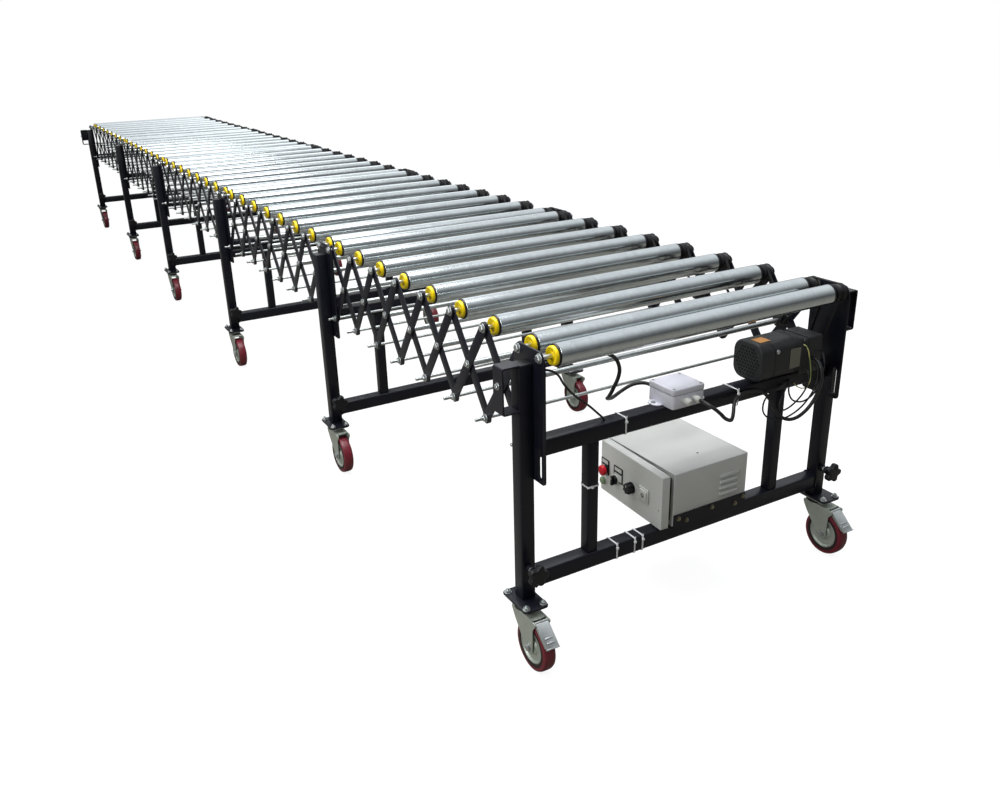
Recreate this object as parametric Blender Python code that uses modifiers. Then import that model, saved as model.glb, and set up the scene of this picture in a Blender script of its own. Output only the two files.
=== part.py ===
"""Flexible powered roller conveyor: six legs on casters, joined by five scissor sections of rollers.

Metres, +Z up. +X runs along the conveyor to the end with the control box, +Y to the side with the belt
drive, and the origin lies on the floor in the middle of the whole. Side -1 is the near side and side +1
the drive side. Section 1, between legs 1 and 2, is built link by link and opens and closes.
"""

import math

import bmesh
import bpy
from mathutils import Matrix, Vector

# Rollers and the conveying height
ROLLER_AXIS_HEIGHT = 0.750
ROLLER_RADIUS = 0.025
ROLLER_LENGTH = 0.800
ROLLER_MIDDLE_Y = -0.012
ROLLER_CAP_THICKNESS = 0.006
DRIVE_HEAD_RADIUS = 0.021
DRIVE_HEAD_LENGTH = 0.046
AXLE_RADIUS = 0.005
ROLLER_BORE_CLEARANCE = 0.0006
ROLLER_STEPS = 12
SOLID_ROLLER_SIDES = 8
AXLE_SIDES = 6

# Sections, counted from the control end
PAIR_SPACING = 0.084
SECTION_PITCHES = (0.162, 0.168, 0.173, 0.160, 0.175)
UNITS = 7
LEG_COUNT = 6

# Scissor links, pivot to pivot
LINK_LENGTH = 0.274
LINK_WIDTH = 0.028
LINK_THICKNESS = 0.004
LINK_CORNERS = 3
LATTICE_CORNERS = 2
LAYER_GAP = 0.0006
LINK_SIDE_GAP = 0.0045
PIVOT_CLEARANCE = 0.0003
FOLD_SLACK = 0.0016
HOLE_SIDES = 6
PITCH_CLOSED = 0.066
PITCH_OPEN = 0.172

# Rods, tubes and bolts of the links
ROD_RADIUS = 0.004
ROD_END_LENGTH = 0.028
ROD_SIDES = 6
NUT_RADIUS = 0.0085
NUT_THICKNESS = 0.0065
TUBE_RADIUS = 0.007
BOLT_HEAD_RADIUS = 0.009
BOLT_HEAD_THICKNESS = 0.005
SEAT_GAP = 0.0003
BITE = 0.0012

# Guide plates at the legs
GUIDE_THICKNESS = 0.005
GUIDE_MARGIN = 0.018
GUIDE_TOP_MARGIN = 0.014
GUIDE_CORNER_RADIUS = 0.012
SLOT_MARGIN = 0.009
SLOT_FOOT = 0.012

# Leg frame
POST_SIZE = 0.036
POST_WALL = 0.0036
POST_TOP_HEIGHT = 0.733
POST_BOTTOM_HEIGHT = 0.163
CROSSBAR_SIZE = 0.040
UPPER_BAR_HEIGHT = 0.532
LOWER_BAR_HEIGHT = 0.207
UPRIGHT_SIZE = 0.030
UPRIGHT_OFFSET = 0.291
END_BRACKET_DEPTH = 0.041
END_BRACKET_WIDTH = 0.040
END_BRACKET_HEIGHT = 0.106
END_BRACKET_PLATE = 0.004

# Telescopic feet
FOOT_CLEARANCE = 0.0004
FOOT_TUBE_LENGTH = 0.300
FOOT_TRAVEL = 0.200
FOOT_PLATE_LENGTH = 0.106
FOOT_PLATE_WIDTH = 0.064
FOOT_PLATE_THICKNESS = 0.006
FOOT_STOP_GAP = 0.0004

# Star knobs that clamp the feet
KNOB_HEIGHT = 0.245
KNOB_SCREW_RADIUS = 0.004
KNOB_RADIUS = 0.026
KNOB_LOBES = 5
KNOB_LOBE_DEPTH_SHARE = 0.16
KNOB_POINTS_PER_LOBE = 3
KNOB_THICKNESS = 0.018
KNOB_STAND_OFF = 0.030

# Casters
WHEEL_RADIUS = 0.0625
WHEEL_WIDTH = 0.032
WHEEL_SIDES = 12
WHEEL_BORE_CLEARANCE = 0.0005
CASTER_SHIFT = 0.010
CASTER_OUTSET = 0.006
CASTER_TRAIL = 0.045
CASTER_PLATE_LENGTH = 0.098
CASTER_PLATE_WIDTH = 0.060
CASTER_PLATE_THICKNESS = 0.003
SWIVEL_RADIUS = 0.024
SWIVEL_HEIGHT = 0.012
SWIVEL_SIDES = 8
YOKE_THICKNESS = 0.005
YOKE_BACK = 0.026
YOKE_FRONT = 0.060
CHEEK_THICKNESS = 0.003
CHEEK_GAP = 0.002
CHEEK_END_RADIUS = 0.015
LUG_FRONT = 0.074
LUG_DEPTH = 0.009
CHEEK_NECK = 0.022
CASTER_AXLE_RADIUS = 0.005
CASTER_AXLE_END = 0.007
PEDAL_WIDTH = 0.035
PEDAL_LENGTH = 0.066
PEDAL_THICKNESS = 0.003
PEDAL_SLOPE = math.radians(42)
PEDAL_PIVOT_X = 0.067
PEDAL_PIVOT_DEPTH = 0.0045
PEDAL_BARREL_RADIUS = 0.004

# Control box behind the lower bar of leg 1
BOX_LENGTH = 0.262
BOX_DEPTH = 0.236
BOX_HEIGHT = 0.142
BOX_WALL = 0.002
BOX_FRONT_OFFSET = 0.031
BOX_NEAR_Y = -0.062
ANGLE_THICKNESS = 0.003
ANGLE_HEIGHT = 0.034
DOOR_DEPTH = 0.022
DOOR_GAP = 0.0035
DOOR_AJAR = math.radians(2.4)
HINGE_PIN_RADIUS = 0.0025
KNUCKLE_RADIUS = 0.0055
KNUCKLE_LENGTH = 0.082
KNUCKLE_START = 0.030
HINGE_INSET = 0.0035
HINGE_OUTSET = 0.004
LUG_HEIGHT = 0.012
LUG_WIDTH = 0.0075
LUG_ROOT_DEPTH = 0.017
LUG_MARGIN = 0.0005
LUG_FACE = 0.0015
HINGE_SIDES = 8
STOP_BUTTON_X = -0.233
STOP_BUTTON_Z = 0.069
SELECTOR_X = -0.191
SELECTOR_Z = 0.057
SPEED_KNOB_X = -0.1245
SPEED_KNOB_Z = 0.063
LATCH_X = -0.071
LATCH_Z = 0.0665
STOP_BUTTON_RADIUS = 0.0145
STOP_STEM_RADIUS = 0.008
STOP_STEM_LENGTH = 0.011
STOP_BUTTON_THICKNESS = 0.012
SELECTOR_RADIUS = 0.014
SELECTOR_THICKNESS = 0.018
SPEED_KNOB_RADIUS = 0.015
SPEED_KNOB_THICKNESS = 0.018
LATCH_SIZE = 0.040
LATCH_THICKNESS = 0.006
CONTROL_SIDES = 10
CONTROL_SHAFT_RADIUS = 0.004

# Drive
MOTOR_RADIUS = 0.050
MOTOR_START_Y = 0.176
MOTOR_LENGTH = 0.137
MOTOR_SIDES = 12
DRIVE_AXIS_HEIGHT = 0.607
GEARBOX_HALF_WIDTH = 0.044
GEARBOX_LENGTH = 0.075
GEARBOX_TOP = 0.042
PULLEY_RADIUS = 0.020
PULLEY_LENGTH = 0.022
PULLEY_BORE_CLEARANCE = 0.0005
PULLEY_SHAFT_RADIUS = 0.008

# Junction box on the upper bar of leg 1
JUNCTION_LENGTH = 0.092
JUNCTION_WIDTH = 0.096
JUNCTION_HEIGHT = 0.048
JUNCTION_CENTRE_Y = -0.045
GLAND_RADIUS = 0.009
GLAND_LENGTH = 0.022
GLAND_SPACING = 0.028
GLAND_HEIGHT_SHARE = 0.4
BACK_GLAND_OFFSET = -0.017

# Cables
CABLE_RADIUS = 0.0045
CABLE_BEVEL_RESOLUTION = 1
CABLE_POINT_SPACING = 0.030

OVERRUN = 0.010

# Places worked out from the sizes above
NEAR_TUBE = ROLLER_MIDDLE_Y - ROLLER_LENGTH / 2
FAR_TUBE = ROLLER_MIDDLE_Y + ROLLER_LENGTH / 2
INNER_LINK = FAR_TUBE + DRIVE_HEAD_LENGTH + LINK_SIDE_GAP
OUTER_LINK = INNER_LINK + LINK_THICKNESS + LAYER_GAP
LINK_FACE = OUTER_LINK + LINK_THICKNESS
GUIDE_FACE = LINK_FACE + LAYER_GAP
OUTSIDE_GUIDE = GUIDE_FACE + GUIDE_THICKNESS + SEAT_GAP
POST_FACE = GUIDE_FACE + GUIDE_THICKNESS - BITE
POST_CENTRE = POST_FACE + POST_SIZE / 2
POST_OUTSIDE = POST_FACE + POST_SIZE
UPPER_BAR_TOP = UPPER_BAR_HEIGHT + CROSSBAR_SIZE / 2
LOWER_BAR_TOP = LOWER_BAR_HEIGHT + CROSSBAR_SIZE / 2
FOOT_PLATE_TOP = POST_BOTTOM_HEIGHT - FOOT_STOP_GAP
CASTER_PLATE_BOTTOM = FOOT_PLATE_TOP - FOOT_PLATE_THICKNESS - CASTER_PLATE_THICKNESS
SWIVEL_TOP = CASTER_PLATE_BOTTOM - SEAT_GAP
YOKE_TOP = CASTER_PLATE_BOTTOM - SWIVEL_HEIGHT
PEDAL_PIVOT_HEIGHT = YOKE_TOP - PEDAL_PIVOT_DEPTH
CASTER_Y = POST_CENTRE + CASTER_OUTSET
WHEEL_CORNER_RADIUS = WHEEL_RADIUS / math.cos(math.pi / WHEEL_SIDES)
PEDAL_REACH = PEDAL_LENGTH * math.cos(PEDAL_SLOPE) + PEDAL_THICKNESS * math.sin(PEDAL_SLOPE)
FRONT_REACH = CASTER_SHIFT + PEDAL_PIVOT_X + PEDAL_REACH
BACK_REACH = PAIR_SPACING / 2 + ROLLER_RADIUS * math.cos(math.pi / SOLID_ROLLER_SIDES)


def leg_places():
    """The legs' centres along X, which put the middle of the whole conveyor at zero."""
    steps = [PAIR_SPACING + UNITS * pitch for pitch in SECTION_PITCHES]
    first = (sum(steps) + BACK_REACH - FRONT_REACH) / 2
    return [first - sum(steps[:k]) for k in range(LEG_COUNT)]


LEG_X = leg_places()
BOX_FRONT_X = LEG_X[0] + BOX_FRONT_OFFSET
BOX_BACK_X = BOX_FRONT_X - BOX_LENGTH
BOX_BOTTOM = LOWER_BAR_TOP + ANGLE_THICKNESS + SEAT_GAP
DOOR_BACK_Y = BOX_NEAR_Y - DOOR_GAP
DOOR_FACE_Y = DOOR_BACK_Y - DOOR_DEPTH
HINGE_X = BOX_BACK_X - HINGE_OUTSET
HINGE_Y = DOOR_BACK_Y - HINGE_INSET
HINGE_AXIS = Matrix.Translation((HINGE_X, HINGE_Y, 0))
SWING = HINGE_AXIS @ Matrix.Rotation(-DOOR_AJAR, 4, "Z") @ HINGE_AXIS.inverted()


def clear_scene():
    """Removes every object of the scene."""
    for item in list(bpy.data.objects):
        bpy.data.objects.remove(item, do_unlink=True)


def new_collection(name):
    """A collection linked to the scene."""
    group = bpy.data.collections.new(name)
    bpy.context.scene.collection.children.link(group)
    return group


def finish(name, colour, roughness, metallic):
    """A plain Principled material."""
    material = bpy.data.materials.new(name)
    material.use_nodes = True
    shader = material.node_tree.nodes["Principled BSDF"]
    shader.inputs["Base Color"].default_value = (*colour, 1.0)
    shader.inputs["Roughness"].default_value = roughness
    shader.inputs["Metallic"].default_value = metallic
    return material


def mesh_from(shape, name):
    """A mesh datablock made from a bmesh."""
    mesh = bpy.data.meshes.new(name)
    shape.to_mesh(mesh)
    shape.free()
    return mesh


def block(low, high):
    """A box between two corners."""
    shape = bmesh.new()
    low, high = Vector(low), Vector(high)
    size = high - low
    place = Matrix.Translation((low + high) / 2) @ Matrix.Diagonal((*size, 1.0))
    bmesh.ops.create_cube(shape, size=1.0, matrix=place)
    return mesh_from(shape, "block")


TURNS = {
    "X": Matrix.Rotation(math.pi / 2, 4, "Y"),
    "Y": Matrix.Rotation(-math.pi / 2, 4, "X"),
    "Z": Matrix.Identity(4),
}


def cylinder(axis, start, end, radius, sides, flat_down=False):
    """A round bar from start to end along an axis; flat_down puts the middle of a facet lowest."""
    shape = bmesh.new()
    start, end = Vector(start), Vector(end)
    spin = Matrix.Rotation(math.pi / sides if flat_down else 0, 4, "Z")
    place = Matrix.Translation((start + end) / 2) @ TURNS[axis] @ spin
    bmesh.ops.create_cone(
        shape,
        cap_ends=True,
        segments=sides,
        radius1=radius,
        radius2=radius,
        depth=(end - start).length,
        matrix=place,
    )
    return mesh_from(shape, "cylinder")


def arc(centre, radius, start, end, parts):
    """Points along an arc, both ends included."""
    angles = [start + (end - start) * k / parts for k in range(parts + 1)]
    return [(centre[0] + radius * math.cos(a), centre[1] + radius * math.sin(a)) for a in angles]


def ring(centre, radius, sides):
    """The corners of a regular hole or disc."""
    return arc(centre, radius, 0, 2 * math.pi, sides)[:-1]


def clear_radius(radius, sides):
    """The corner radius of a hole whose flats clear a bar of this radius."""
    return radius / math.cos(math.pi / sides)


def plate(outlines, thickness, place):
    """A flat outline with its holes, as thick as said, put where the matrix says."""
    curve = bpy.data.curves.new("outline", "CURVE")
    curve.dimensions = "2D"
    curve.fill_mode = "BOTH"
    curve.extrude = thickness / 2
    for outline in outlines:
        spline = curve.splines.new("POLY")
        spline.points.add(len(outline) - 1)
        for point, (x, y) in zip(spline.points, outline):
            point.co = (x, y, 0, 1)
        spline.use_cyclic_u = True
    return mesh_of_curve(curve, place)


def mesh_of_curve(curve, place):
    """The mesh of a curve, its caps welded, in world space."""
    item = bpy.data.objects.new("curve", curve)
    bpy.context.scene.collection.objects.link(item)
    evaluated = item.evaluated_get(bpy.context.evaluated_depsgraph_get())
    mesh = bpy.data.meshes.new_from_object(evaluated)
    bpy.data.objects.remove(item, do_unlink=True)
    bpy.data.curves.remove(curve)
    shape = bmesh.new()
    shape.from_mesh(mesh)
    bmesh.ops.remove_doubles(shape, verts=shape.verts, dist=1e-6)
    bmesh.ops.transform(shape, matrix=place, verts=shape.verts)
    bmesh.ops.recalc_face_normals(shape, faces=shape.faces)
    shape.to_mesh(mesh)
    shape.free()
    return mesh


def upright_plate(outlines, thickness, y):
    """A plate standing in the XZ plane, its middle at y."""
    stand = Matrix.Rotation(math.pi / 2, 4, "X")
    return plate(outlines, thickness, Matrix.Translation((0, y, 0)) @ stand)


def cross_plate(outlines, thickness, x):
    """A plate standing in the YZ plane, its middle at x."""
    stand = Matrix.Rotation(math.pi / 2, 4, "Z") @ Matrix.Rotation(math.pi / 2, 4, "X")
    return plate(outlines, thickness, Matrix.Translation((x, 0, 0)) @ stand)


def smooth_route(points, spacing):
    """Points along a smooth curve through the given ones, a fixed spacing apart."""
    points = [Vector(p) for p in points]
    ends = [2 * points[0] - points[1], *points, 2 * points[-1] - points[-2]]
    route = [points[0]]
    for a, b, c, d in zip(ends, ends[1:], ends[2:], ends[3:]):
        parts = max(1, round((c - b).length / spacing))
        for k in range(1, parts + 1):
            t = k / parts
            route.append(
                0.5
                * (
                    2 * b
                    + (c - a) * t
                    + (2 * a - 5 * b + 4 * c - d) * t * t
                    + (3 * b - 3 * c + d - a) * t * t * t
                )
            )
    return route


def tube(points, radius):
    """A cable along a smooth route."""
    curve = bpy.data.curves.new("tube", "CURVE")
    curve.dimensions = "3D"
    curve.bevel_depth = radius
    curve.bevel_resolution = CABLE_BEVEL_RESOLUTION
    curve.use_fill_caps = True
    route = smooth_route(points, CABLE_POINT_SPACING)
    spline = curve.splines.new("POLY")
    spline.points.add(len(route) - 1)
    for point, place in zip(spline.points, route):
        point.co = (*place, 1)
    return mesh_of_curve(curve, Matrix.Identity(4))


class Builder:
    """Makes each node from the solids that it joins and the cutters that it takes away."""

    def __init__(self):
        self.parts = new_collection("flexible_roller_conveyor")
        self.helpers = new_collection("cutters")
        self.finishes = {
            "black_coat": finish("black_powder_coat", (0.012, 0.013, 0.018), 0.42, 0.0),
            "zinc": finish("zinc_plate", (0.62, 0.64, 0.65), 0.35, 0.9),
            "roller": finish("galvanised_roller", (0.60, 0.62, 0.63), 0.28, 0.95),
            "tread": finish("red_polyurethane", (0.19, 0.012, 0.022), 0.45, 0.0),
            "grey_enamel": finish("light_grey_enamel", (0.45, 0.46, 0.42), 0.40, 0.0),
            "black_plastic": finish("black_plastic", (0.010, 0.010, 0.012), 0.35, 0.0),
            "motor": finish("dark_motor_enamel", (0.020, 0.022, 0.024), 0.45, 0.0),
            "red_plastic": finish("red_button_plastic", (0.50, 0.010, 0.020), 0.30, 0.0),
            "pale_plastic": finish("pale_grey_plastic", (0.70, 0.69, 0.74), 0.40, 0.0),
            "cable": finish("black_cable", (0.008, 0.008, 0.009), 0.50, 0.0),
        }

    def helper(self, mesh, group):
        """A hidden solid that a node joins or cuts with."""
        item = bpy.data.objects.new(f"{group.name}_helper", mesh)
        item.hide_render = True
        item.display_type = "WIRE"
        group.objects.link(item)

    def node(self, name, colour, origin, solids, cuts=()):
        """One named node: its first solid, the others joined to it and the cuts taken away."""
        base = solids[0]
        base.transform(Matrix.Translation(-Vector(origin)))
        base.materials.append(self.finishes[colour])
        item = bpy.data.objects.new(name, base)
        item.location = origin
        self.parts.objects.link(item)
        for kind, meshes in (("UNION", solids[1:]), ("DIFFERENCE", cuts)):
            if not meshes:
                continue
            group = bpy.data.collections.new(f"{name}_{kind.lower()}")
            self.helpers.children.link(group)
            for mesh in meshes:
                self.helper(mesh, group)
            step = item.modifiers.new(kind.lower(), "BOOLEAN")
            step.operation = kind
            step.operand_type = "COLLECTION"
            step.collection = group
            step.solver = "EXACT"
        return item

    def turned(self, name, colour, origin, profile, steps, turn=0.0):
        """A node turned about Y: profile gives radius and place along Y, up its outer side."""
        mesh = self.profile_mesh(profile)
        mesh.materials.append(self.finishes[colour])
        item = bpy.data.objects.new(name, mesh)
        item.location = origin
        item.rotation_euler = (-math.pi / 2, turn, 0)
        item.rotation_mode = "XYZ"
        self.parts.objects.link(item)
        screw = item.modifiers.new("turn", "SCREW")
        screw.steps = steps
        screw.render_steps = steps
        screw.use_merge_vertices = True
        screw.merge_threshold = 0.00001
        return item

    def profile_mesh(self, profile):
        """The closed profile of a turned piece, running down its outer side."""
        mesh = bpy.data.meshes.new("profile")
        points = [(radius, 0, along) for radius, along in profile]
        edges = [(k, (k + 1) % len(points)) for k in range(len(points))]
        mesh.from_pydata(points, edges, [])
        return mesh


def roller_profile(bore):
    """Radius and place along Y of a roller with its cap, drive head and bore."""
    near = NEAR_TUBE - ROLLER_CAP_THICKNESS
    far = FAR_TUBE + DRIVE_HEAD_LENGTH
    return [
        (bore, far),
        (DRIVE_HEAD_RADIUS, far),
        (DRIVE_HEAD_RADIUS, FAR_TUBE),
        (ROLLER_RADIUS, FAR_TUBE),
        (ROLLER_RADIUS, near),
        (bore, near),
    ]


def solid_roller(x):
    """A roller fixed on its axle: the tube, its drive head and the axle in one."""
    axis = ROLLER_AXIS_HEIGHT
    near = NEAR_TUBE - ROLLER_CAP_THICKNESS
    far = FAR_TUBE + DRIVE_HEAD_LENGTH
    sides = SOLID_ROLLER_SIDES
    return [
        cylinder("Y", (x, near, axis), (x, FAR_TUBE, axis), ROLLER_RADIUS, sides, flat_down=True),
        cylinder("Y", (x, FAR_TUBE - BITE, axis), (x, far, axis), DRIVE_HEAD_RADIUS, sides, flat_down=True),
    ]


def axle(x, reach):
    """A round axle across the conveyor, out to the given reach on both sides."""
    axis = ROLLER_AXIS_HEIGHT
    return cylinder("Y", (x, -reach, axis), (x, reach, axis), AXLE_RADIUS, AXLE_SIDES)


def link_drop(pitch):
    """How far the bottom pivots hang under the top ones at a pitch."""
    return math.sqrt(LINK_LENGTH**2 - pitch**2)


def bar_outline(top, bottom):
    """A flat bar with rounded ends between two pivots in the XZ plane."""
    along = math.atan2(bottom[1] - top[1], bottom[0] - top[0])
    half = LINK_WIDTH / 2
    quarter = math.pi / 2
    start = arc(top, half, along + quarter, along + 3 * quarter, LINK_CORNERS)
    end = arc(bottom, half, along - quarter, along + quarter, LINK_CORNERS)
    return start + end


def rod_nut(x, z, side, face):
    """The nut on a rod's end, outside the face that it holds."""
    return cylinder(
        "Y",
        (x, side * face, z),
        (x, side * (face + NUT_THICKNESS), z),
        NUT_RADIUS,
        ROD_SIDES,
    )


def outer_link(builder, name, top_x, bottom_x, drop, nut_face):
    """A pair of outer bars joined by the threaded rod at their bottom pivot."""
    top = (top_x, ROLLER_AXIS_HEIGHT)
    bottom = (bottom_x, ROLLER_AXIS_HEIGHT - drop)
    middle = ((top[0] + bottom[0]) / 2, (top[1] + bottom[1]) / 2)
    axle_hole = clear_radius(AXLE_RADIUS + PIVOT_CLEARANCE, HOLE_SIDES)
    bolt_hole = clear_radius(ROD_RADIUS + FOLD_SLACK + PIVOT_CLEARANCE, HOLE_SIDES)
    outlines = [
        bar_outline(top, bottom),
        ring(top, axle_hole, HOLE_SIDES),
        ring(middle, bolt_hole, HOLE_SIDES),
    ]
    layer = OUTER_LINK + LINK_THICKNESS / 2
    reach = LINK_FACE + ROD_END_LENGTH
    solids = [upright_plate(outlines, LINK_THICKNESS, side * layer) for side in (-1, 1)]
    ends = [(bottom[0], side * reach, bottom[1]) for side in (-1, 1)]
    solids.append(cylinder("Y", ends[0], ends[1], ROD_RADIUS, ROD_SIDES))
    solids += [rod_nut(*bottom, side, nut_face) for side in (-1, 1)]
    builder.node(name, "black_coat", (top[0], 0, top[1]), solids)


def inner_link(builder, name, top_x, bottom_x, drop, own_rod):
    """A pair of inner bars joined by the spacer tube at their middle pivot."""
    top = (top_x, ROLLER_AXIS_HEIGHT)
    bottom = (bottom_x, ROLLER_AXIS_HEIGHT - drop)
    middle = ((top[0] + bottom[0]) / 2, (top[1] + bottom[1]) / 2)
    axle_hole = clear_radius(AXLE_RADIUS + PIVOT_CLEARANCE, HOLE_SIDES)
    rod_hole = clear_radius(ROD_RADIUS + 2 * FOLD_SLACK + PIVOT_CLEARANCE, HOLE_SIDES)
    outlines = [bar_outline(top, bottom), ring(top, axle_hole, HOLE_SIDES)]
    if not own_rod:
        outlines.append(ring(bottom, rod_hole, HOLE_SIDES))
    layer = INNER_LINK + LINK_THICKNESS / 2
    solids = [upright_plate(outlines, LINK_THICKNESS, side * layer) for side in (-1, 1)]
    joined = INNER_LINK + BITE
    face = LINK_FACE + SEAT_GAP
    ends = [(middle[0], side * joined, middle[1]) for side in (-1, 1)]
    solids.append(cylinder("Y", ends[0], ends[1], TUBE_RADIUS, HOLE_SIDES))
    for side in (-1, 1):
        inside = (middle[0], side * INNER_LINK, middle[1])
        seat = (middle[0], side * face, middle[1])
        end = (middle[0], side * (face + BOLT_HEAD_THICKNESS), middle[1])
        solids.append(cylinder("Y", inside, end, ROD_RADIUS, HOLE_SIDES))
        solids.append(cylinder("Y", seat, end, BOLT_HEAD_RADIUS, ROD_SIDES))
    if own_rod:
        reach = LINK_FACE + ROD_END_LENGTH
        ends = [(bottom[0], side * reach, bottom[1]) for side in (-1, 1)]
        solids.append(cylinder("Y", ends[0], ends[1], ROD_RADIUS, ROD_SIDES))
        solids += [rod_nut(*bottom, side, OUTSIDE_GUIDE) for side in (-1, 1)]
    builder.node(name, "black_coat", (top[0], 0, top[1]), solids)


def lattice_outlines(first_x, pitch):
    """The outline and openings of a whole side of crossed bars, from its pivots and bar width.

    Edges of crossing bars meet at half a width over the sine of their slope above and below a
    pivot, and at half a width over the cosine beside it.
    """
    drop = link_drop(pitch)
    slope = math.atan2(pitch, drop)
    half = LINK_WIDTH / 2
    high, wide = half / math.sin(slope), half / math.cos(slope)
    axis = ROLLER_AXIS_HEIGHT
    tops = [first_x + k * pitch for k in range(UNITS + 1)]
    middles = [first_x + (k + 0.5) * pitch for k in range(UNITS)]
    low, middle_z = axis - drop, axis - drop / 2
    right, left = slope, math.pi - slope
    outline = []
    for k, x in enumerate(tops):
        turn_from = left if k else math.pi + slope
        turn_to = right if k < UNITS else -slope
        outline += arc((x, axis), half, turn_from, turn_to, LATTICE_CORNERS)
        if k < UNITS:
            outline.append((middles[k], middle_z + high))
    outline.append((middles[-1] + wide, middle_z))
    for k, x in reversed(list(enumerate(tops))):
        turn_from = -right if k < UNITS else slope
        turn_to = slope - math.pi if k else -math.pi - slope
        outline += arc((x, low), half, turn_from, turn_to, LATTICE_CORNERS)
        if k:
            outline.append((middles[k - 1], middle_z - high))
    outline.append((middles[0] - wide, middle_z))
    outlines = [outline]
    for k in range(1, UNITS):
        x = tops[k]
        outlines.append(
            [
                (x, axis - high),
                (middles[k] - wide, middle_z),
                (x, low + high),
                (middles[k - 1] + wide, middle_z),
            ]
        )
    hole = clear_radius(AXLE_RADIUS + PIVOT_CLEARANCE, HOLE_SIDES)
    outlines += [ring((x, axis), hole, HOLE_SIDES) for x in (tops[0], tops[-1])]
    return outlines


def joined_section(builder, index):
    """A whole section at its set pitch: both lattices, cross rods, spacer tubes and six rollers."""
    pitch = SECTION_PITCHES[index]
    first_x = LEG_X[index + 1] + PAIR_SPACING / 2
    outlines = lattice_outlines(first_x, pitch)
    thickness = LINK_FACE - INNER_LINK
    layer = (LINK_FACE + INNER_LINK) / 2
    solids = [upright_plate(outlines, thickness, side * layer) for side in (-1, 1)]
    inside = INNER_LINK + BITE
    low = ROLLER_AXIS_HEIGHT - link_drop(pitch)
    middle_z = ROLLER_AXIS_HEIGHT - link_drop(pitch) / 2
    for k in range(UNITS):
        x = first_x + (k + 0.5) * pitch
        ends = [(x, side * inside, middle_z) for side in (-1, 1)]
        solids.append(cylinder("Y", ends[0], ends[1], TUBE_RADIUS, ROD_SIDES))
    for k in range(UNITS + 1):
        x = first_x + k * pitch
        solids.append(cylinder("Y", (x, -inside, low), (x, inside, low), ROD_RADIUS, ROD_SIDES))
    for k in range(1, UNITS):
        x = first_x + k * pitch
        solids += solid_roller(x)
        solids.append(axle(x, inside))
    origin = (first_x, 0, ROLLER_AXIS_HEIGHT)
    builder.node(f"scissor_section_{index + 1}", "black_coat", origin, solids)


def folding_section(builder):
    """Section 1, link by link: six free axles with their rollers and seven crossed pairs of links."""
    pitch = SECTION_PITCHES[0]
    drop = link_drop(pitch)
    last_x = LEG_X[0] - PAIR_SPACING / 2
    for k in range(1, UNITS):
        x = last_x - k * pitch
        free_axle(builder, f"roller_axle_{k + 2}", x)
        free_roller(builder, f"roller_{k + 2}", x)
    for k in range(UNITS):
        near_x = last_x - k * pitch
        far_x = near_x - pitch
        nut_face = OUTSIDE_GUIDE if k == UNITS - 1 else LINK_FACE + SEAT_GAP
        outer_link(builder, f"outer_link_{k + 1}", near_x, far_x, drop, nut_face)
        inner_link(builder, f"inner_link_{k + 1}", far_x, near_x, drop, own_rod=k == 0)


def free_axle(builder, name, x):
    """An axle bolted through both layers of links, with its bolt heads."""
    axis = ROLLER_AXIS_HEIGHT
    face = LINK_FACE + SEAT_GAP
    reach = face + BOLT_HEAD_THICKNESS
    solids = [axle(x, reach)]
    for side in (-1, 1):
        solids.append(
            cylinder("Y", (x, side * face, axis), (x, side * reach, axis), BOLT_HEAD_RADIUS, ROD_SIDES)
        )
    builder.node(name, "zinc", (x, 0, axis), solids)


def free_roller(builder, name, x):
    """A roller that turns on its axle."""
    bore = clear_radius(AXLE_RADIUS + ROLLER_BORE_CLEARANCE, ROLLER_STEPS)
    origin = (x, 0, ROLLER_AXIS_HEIGHT)
    builder.turned(name, "roller", origin, roller_profile(bore), ROLLER_STEPS)


def guide_outlines(x):
    """A guide plate: two roller pivots at its top and a slot for the bottom pivot under each."""
    half = PAIR_SPACING / 2
    low_drop = link_drop(PITCH_CLOSED)
    high_drop = link_drop(PITCH_OPEN)
    slot_low = ROLLER_AXIS_HEIGHT - low_drop - SLOT_MARGIN
    slot_high = ROLLER_AXIS_HEIGHT - high_drop + SLOT_MARGIN
    bottom = slot_low - SLOT_FOOT
    top = ROLLER_AXIS_HEIGHT + GUIDE_TOP_MARGIN
    side = half + GUIDE_MARGIN
    corner = GUIDE_CORNER_RADIUS
    quarter = math.pi / 2
    outline = []
    corners = (
        (x + side - corner, top - corner),
        (x - side + corner, top - corner),
        (x - side + corner, bottom + corner),
        (x + side - corner, bottom + corner),
    )
    for k, centre in enumerate(corners):
        outline += arc(centre, corner, k * quarter, (k + 1) * quarter, 2)
    outlines = [outline]
    reach = ROD_RADIUS + FOLD_SLACK + PIVOT_CLEARANCE
    for sign in (-1, 1):
        left, right = x + sign * half - reach, x + sign * half + reach
        outlines.append([(left, slot_low), (right, slot_low), (right, slot_high), (left, slot_high)])
    return outlines


def across(x, z, half_x, half_z, reach):
    """A square bar across the conveyor."""
    return block((x - half_x, -reach, z - half_z), (x + half_x, reach, z + half_z))


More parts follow.
